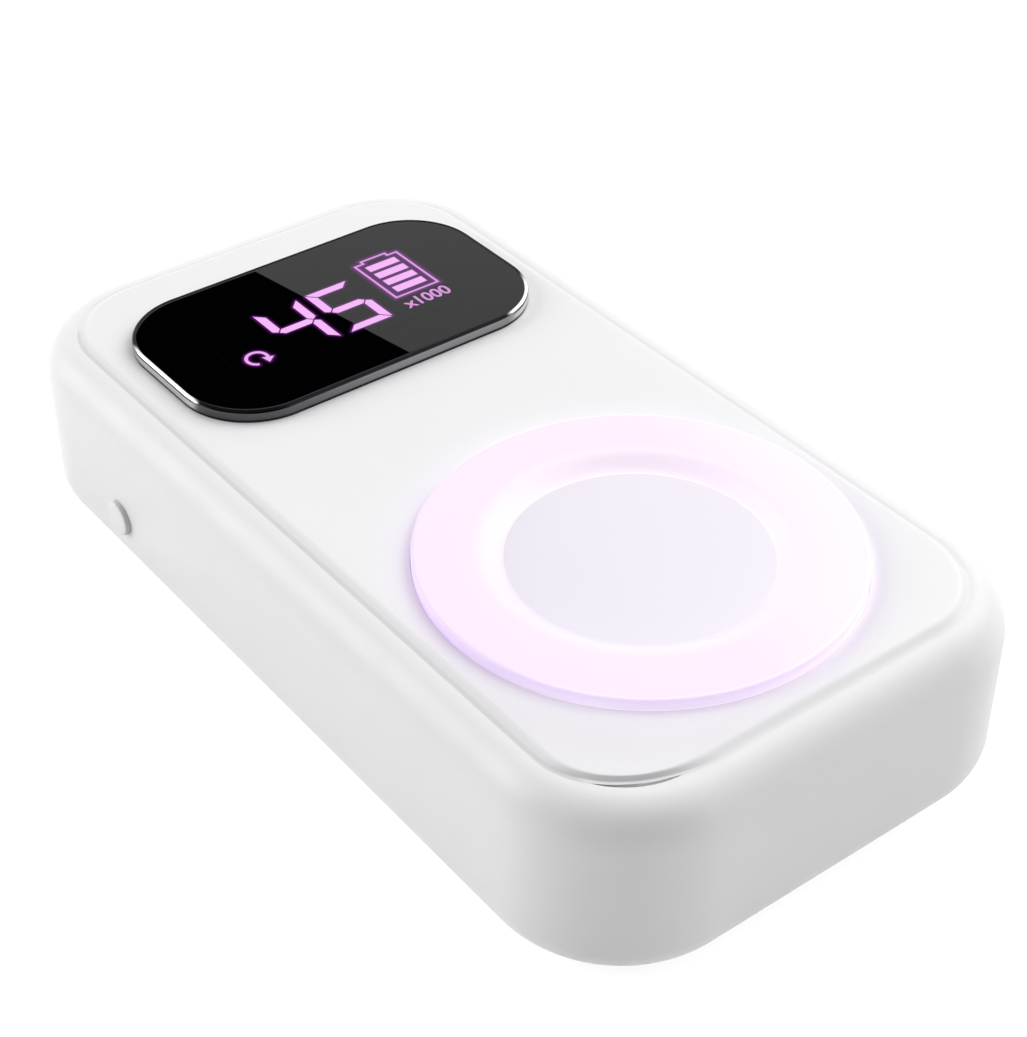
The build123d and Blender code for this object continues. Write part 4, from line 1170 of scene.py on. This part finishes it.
def digit_outlines(lit, left):
    """Outlines of the lit bars of a seven-bar digit. Bars meet in mitres, with a fine gap between them.

    The bars are lettered a to g clockwise from the top, with g in the middle.
    """
    wide, tall, stroke, gap, mid = digit_wide, digit_tall, digit_stroke, digit_gap, digit_tall / 2
    half = stroke / 2
    top = [(gap, tall), (wide - gap, tall), (wide - stroke - gap, tall - stroke),
           (stroke + gap, tall - stroke)]
    upper_left = [(0, tall - gap), (stroke, tall - stroke - gap), (stroke, mid + half + gap),
                  (half, mid + gap), (0, mid + half)]
    middle = [(half + gap, mid), (stroke + gap, mid + half), (wide - stroke - gap, mid + half),
              (wide - half - gap, mid), (wide - stroke - gap, mid - half), (stroke + gap, mid - half)]
    bars = {"a": top, "f": upper_left, "g": middle}
    bars["d"] = [(x, tall - y) for x, y in top]
    bars["e"] = [(x, tall - y) for x, y in upper_left]
    bars["b"] = [(wide - x, y) for x, y in upper_left]
    bars["c"] = [(wide - x, tall - y) for x, y in upper_left]
    return [[(left + x, readout_low + y) for x, y in bars[letter]] for letter in lit]


def strip(outer, inner):
    """Four-sided marks between two lines of points."""
    return [[outer[i], outer[i + 1], inner[i + 1], inner[i]] for i in range(len(outer) - 1)]


def frame_strip(corners, stroke):
    """Closed line of the given stroke round a loop of corners, with mitred corners."""
    loop = np.array(corners, float)
    forward = np.roll(loop, -1, 0) - loop
    forward /= np.linalg.norm(forward, axis=1, keepdims=True)
    left = np.column_stack([-forward[:, 1], forward[:, 0]])
    left_before = np.roll(left, 1, 0)
    mitre = left_before + left
    mitre /= (mitre * left_before).sum(1, keepdims=True)
    outer, inner = loop - mitre * stroke / 2, loop + mitre * stroke / 2
    return strip([*outer, outer[0]], [*inner, inner[0]])


def battery_sign():
    """Battery symbol: an outline with a nub on top, and four cells inside."""
    low, high, nub_top, first_cell = (display_centre[1] + rise for rise in (-2.9, 7.85, 8.55, -1.7))
    left, right, nub_left, nub_right, cell_left, cell_right = 9.1, 16.55, 10.6, 14.9, 10.2, 15.45
    corners = [(left, low), (right, low), (right, high), (nub_right, high), (nub_right, nub_top),
               (nub_left, nub_top), (nub_left, high), (left, high)]
    cells = []
    for index in range(4):
        bottom = first_cell + battery_cell_pitch * index
        top = bottom + battery_cell_tall
        cells.append([(cell_left, bottom), (cell_right, bottom), (cell_right, top), (cell_left, top)])
    return frame_strip(corners, battery_stroke), cells


def turn_sign():
    """Direction mark: an open circle that ends in an arrow head."""
    centre = np.array([-15.6, display_centre[1] - 4.25])
    t = np.radians(np.linspace(-20, 250, 33))
    spoke = np.stack([np.cos(t), np.sin(t)], 1)
    outer, inner = [centre + (turn_radius + half) * spoke for half in (turn_stroke / 2, -turn_stroke / 2)]
    out, tangent = spoke[0], np.array([spoke[0][1], -spoke[0][0]])
    tip = centre + turn_radius * out
    head = [tip + arrow_half * out, tip - arrow_half * out, tip + arrow_long * tangent]
    return strip(outer, inner) + [head]


def scale_mark():
    """Plain number that scales the reading, set small under the battery symbol."""
    text = bpy.data.curves.new("scale_mark", "FONT")
    text.body = "x1000"
    text.extrude = 0.5
    text.offset = 0.02
    written = linked("scale_text", text)
    bpy.context.view_layer.update()
    mesh = drawn(written)
    bpy.data.objects.remove(written)
    points = points_of(mesh)
    low, high = points.min(0), points.max(0)
    wanted_low = np.array([8.9, display_centre[1] - 6.55, lens_high[2]])
    wanted_high = np.array([16.7, display_centre[1] - 4.1, lens_high[2] + mark_thick])
    points = wanted_low + (points - low) / (high - low) * (wanted_high - wanted_low)
    mesh.vertices.foreach_set("co", (points * MM).ravel())
    mesh.update()
    paint(mesh, "level", np.full(len(mesh.vertices), 0.45))
    put("scale_mark", mesh, "casing", "lit_bars")


def readout_marks():
    """Everything that the display shows: two digits, a direction mark, a battery symbol and a scale mark."""
    left, right = digit_outlines("bcfg", digit_left), digit_outlines("acdfg", digit_left + digit_pitch)
    outline, cells = battery_sign()
    flat_marks("digit_left", left)
    flat_marks("digit_right", right)
    flat_marks("battery_outline", outline, 0.55)
    flat_marks("battery_cells_lit", cells)
    flat_marks("turn_mark", turn_sign(), 0.8)
    painted_glow_piece([(mark, painted_glow_spread) for mark in left + right + turn_sign()]
               + [(mark, battery_spread) for mark in outline + cells])
    scale_mark()


# Button and sockets


def button_piece():
    """Round power button: a gently crowned face, a rounded edge and a flange behind the wall."""
    face, back = key_face, span("power_button")[1][0]
    centre = middle_of("power_button") * (0, 1, 1)
    edge, flange = key_radius - key_round, back - key_flange_thickness
    section = profile((0, face), (1.2, face + key_crown / 4), (edge, face + key_crown),
                      arc((edge, face + key_crown + key_round), (key_round, key_round), -90, 0, 6),
                      (key_radius, flange), (key_flange_radius, flange), (key_flange_radius, back), (0, back))
    key = put("power_key", mesh_of(turned(section, centre, 64, 0)), "button", "white_case", "power_button")
    key.data.materials[0] = key_moulding()


def socket_piece():
    """Handpiece socket: a round nose with a softened mouth, and its square body behind the wall."""
    low, high = span("handpiece_socket")
    centre = (low + high) / 2 * (1, 0, 1)
    face, mouth, edge = high[1], jack_mouth, jack_nose_round
    floor = face - jack_deep
    section = profile((0, floor), (jack_bore, floor), (jack_bore, face - mouth),
                      arc((jack_bore + mouth, face - mouth), (-mouth, mouth), 0, 90, 5),
                      arc((jack_nose - edge, face - edge), (edge, edge), 90, 0, 5),
                      (jack_nose, face - jack_nose_long), (0, floor - jack_back))
    nose = mesh_of(turned(section, centre, 72, 1))
    front = span("socket_collar")[0][1] - jack_body_gap
    plan = rounded_plan(high[0] - low[0], high[2] - low[2], jack_body_corner, centre[[0, 2]], steps=6)
    box = laid_down(carried(plan, profile((0, low[1]), (0, front))))
    seat = hole_tool(jack_nose + hole_gap, front, face - jack_seat_deep, centre, 1, 0.05)
    body = cut_away(mesh_of(box), [seat])
    put("jack_socket", joined(nose, body), "casing", "socket_black", "handpiece_socket")


def collar_piece():
    """Plated collar round the socket's nose, with both edges of its face rounded."""
    low, high = span("socket_collar")
    centre = middle_of("handpiece_socket") * (1, 0, 1)
    inner, outer = collar_radii
    face = high[1] - collar_round
    rounds = [arc((radius, face), (collar_round, collar_round), start, start + 90, 4)
              for radius, start in ((outer - collar_round, 0), (inner + collar_round, 90))]
    section = profile((inner, low[1]), (outer, low[1]), (outer, face), *rounds)
    put("jack_collar", mesh_of(turned(section, centre, 72, 1), looped=True),
        "casing", "socket_metal", "socket_collar")


def port_piece():
    """Charge port shell: a drawn tube of rounded section with a rolled lip, closed at its back."""
    low, high = span("charge_shell")
    centre = middle_of("charge_shell")[[0, 2]]
    plan = rounded_plan(high[0] - low[0], high[2] - low[2], port_corner, centre, steps=10)
    lip, half = high[1] - port_lip, port_wall / 2
    section = profile((0, low[1]), (0, lip), arc((half, lip), (-half, port_lip), 0, 180, 6),
                      (port_wall, low[1] + port_back))
    put("port_shell", mesh_of(laid_down(carried(plan, section))), "casing", "socket_metal", "charge_shell")


# The frame's own nodes


def dress_nodes():
    """Each node of the frame gets the finish of its slot."""
    for entry in frame["record"]["subparts"]:
        node = frame["nodes"][entry["node"]]
        node.data.materials.clear()
        node.data.materials.append(finishes[entry["material_slot"]])


# Room, lamps and camera


camera_place = np.array([-140.828, -189.846, 197.71])
camera_right = np.array([0.794400, -0.607395, -0.000790])
camera_up = np.array([0.370804, 0.483937, 0.792660])


def aim(thing, place, right, up):
    """Sets a camera or a lamp at a place in metres, turned so that it looks against right x up."""
    axes = np.column_stack([right, up, np.cross(right, up)])
    thing.matrix_world = Matrix.Translation(place) @ Matrix(axes.tolist()).to_4x4()


def add_camera():
    """Camera at the photograph's viewpoint."""
    data = bpy.data.cameras.new("camera")
    data.lens = 74.945
    data.sensor_width = 36.0
    data.clip_start = 0.01
    data.clip_end = 20.0
    camera = linked("camera", data)
    aim(camera, camera_place * MM, camera_right, camera_up)
    bpy.context.scene.camera = camera


def add_world(ambient):
    """White to the camera and in reflections, and an even soft light of the given strength elsewhere."""
    world = bpy.data.worlds.new("studio")
    bpy.context.scene.world = world
    sky = Nodes(world, "Background", Color=(1.0, 1.0, 1.0, 1.0))
    sky.feed("Strength", sky.ramp(sky.background_rays(), 0.0, 1.0, ambient, 1.0))


def add_stage(name, points, faces, finish):
    """Sheet of the studio, which is no part of the object. Points are in metres."""
    mesh = bpy.data.meshes.new(name)
    mesh.from_pydata(points, [], faces)
    mesh.materials.append(finish.material)
    sheet = linked(name, mesh)
    return sheet


def add_floor(share, lift):
    """Pale floor. What the camera sees is partly its own white, so that only the shadow darkens it."""
    finish = Finish("floor", Roughness=0.9, Specular_IOR_Level=0.0, Emission_Color=(1.0, 1.0, 1.0, 1.0))
    seen = finish.background_rays()
    finish.feed("Base Color", finish.ramp(seen, 0.0, 1.0, 0.9, share))
    finish.feed("Emission Strength", finish.ramp(seen, 0.0, 1.0, 0.0, lift))
    reach = 4.0
    corners = [(-reach, -reach, 0), (reach, -reach, 0), (reach, reach, 0), (-reach, reach, 0)]
    add_stage("floor", corners, [(0, 1, 2, 3)], finish)


def add_lamp(name, azimuth, elevation, size, power, distance=1.3):
    """Square soft lamp that faces the object from an azimuth and elevation in degrees; size in metres."""
    turn, rise = math.radians(azimuth), math.radians(elevation)
    back = np.array([math.cos(rise) * math.cos(turn), math.cos(rise) * math.sin(turn), math.sin(rise)])
    side = np.array([-math.sin(turn), math.cos(turn), 0.0])
    data = bpy.data.lights.new(name, "AREA")
    data.size = size
    data.energy = power
    aim(linked(name, data), back * distance, side, np.cross(back, side))


def add_black(name, points, faces):
    """Black studio sheet that the camera doesn't see and that casts no shadow. Points are in metres."""
    finish = Finish(name, Base_Color=(0.0, 0.0, 0.0, 1.0), Specular_IOR_Level=0.0)
    sheet = add_stage(name, points, faces, finish)
    sheet.visible_camera = False
    sheet.visible_shadow = False
    return sheet


def add_flag(first, last, low, high, radius=1.6):
    """Dark curved flag behind the camera: radius * (cos t, sin t) for t between two azimuths, two heights."""
    t = np.radians(np.linspace(first, last, 17))
    foot = np.stack([radius * np.cos(t), radius * np.sin(t), np.full(len(t), low)], 1)
    points = np.concatenate([foot, foot + (0, 0, high - low)])
    index = np.arange(len(t) - 1)
    faces = np.stack([index, index + 1, index + 1 + len(t), index + len(t)], 1)
    add_black("flag", points, faces.tolist())


def add_dark_card(lens_corners, distance):
    """Black studio card whose mirror image covers the given corners on the lens.

    Each corner of the card lies on the ray from the camera's mirror image through a corner on the lens.
    """
    level = lens_high[2]
    mirror = camera_place * (1, 1, -1) + (0, 0, 2 * level)
    corners = np.column_stack([np.array(lens_corners, float), np.full(len(lens_corners), level)])
    points = mirror + distance * (corners - mirror)
    card = add_black("dark_card", points * MM, [tuple(range(len(points)))])
    card.visible_diffuse = False


bpy.context.scene.view_settings.view_transform = "Standard"
add_camera()
dress_nodes()
for build in (case_piece, cover_piece, feet_piece, screws_piece, plate_piece, ring_piece, cap_piece,
              bezel_piece, lens_piece, readout_marks, button_piece, socket_piece, collar_piece, port_piece):
    build()

add_world(0.42)
add_floor(0.35, 0.84)
for name, azimuth, elevation, size, power in (
        ("left_back", 137, 22, 0.9, 9.5), ("left_low", 200, 15, 1.0, 0.8), ("right", 8, 25, 0.9, 2.8),
        ("right_high", 0, 50, 1.1, 8.0), ("front", 302, 42, 0.8, 2.9)):
    add_lamp(name, azimuth, elevation, size, power)
add_flag(175, 285, 0.0, 1.5)
add_dark_card([(-4.8, 62.0), (-60.0, 62.0), (-60.0, 12.0), (3.9, 12.0)], 5.0)
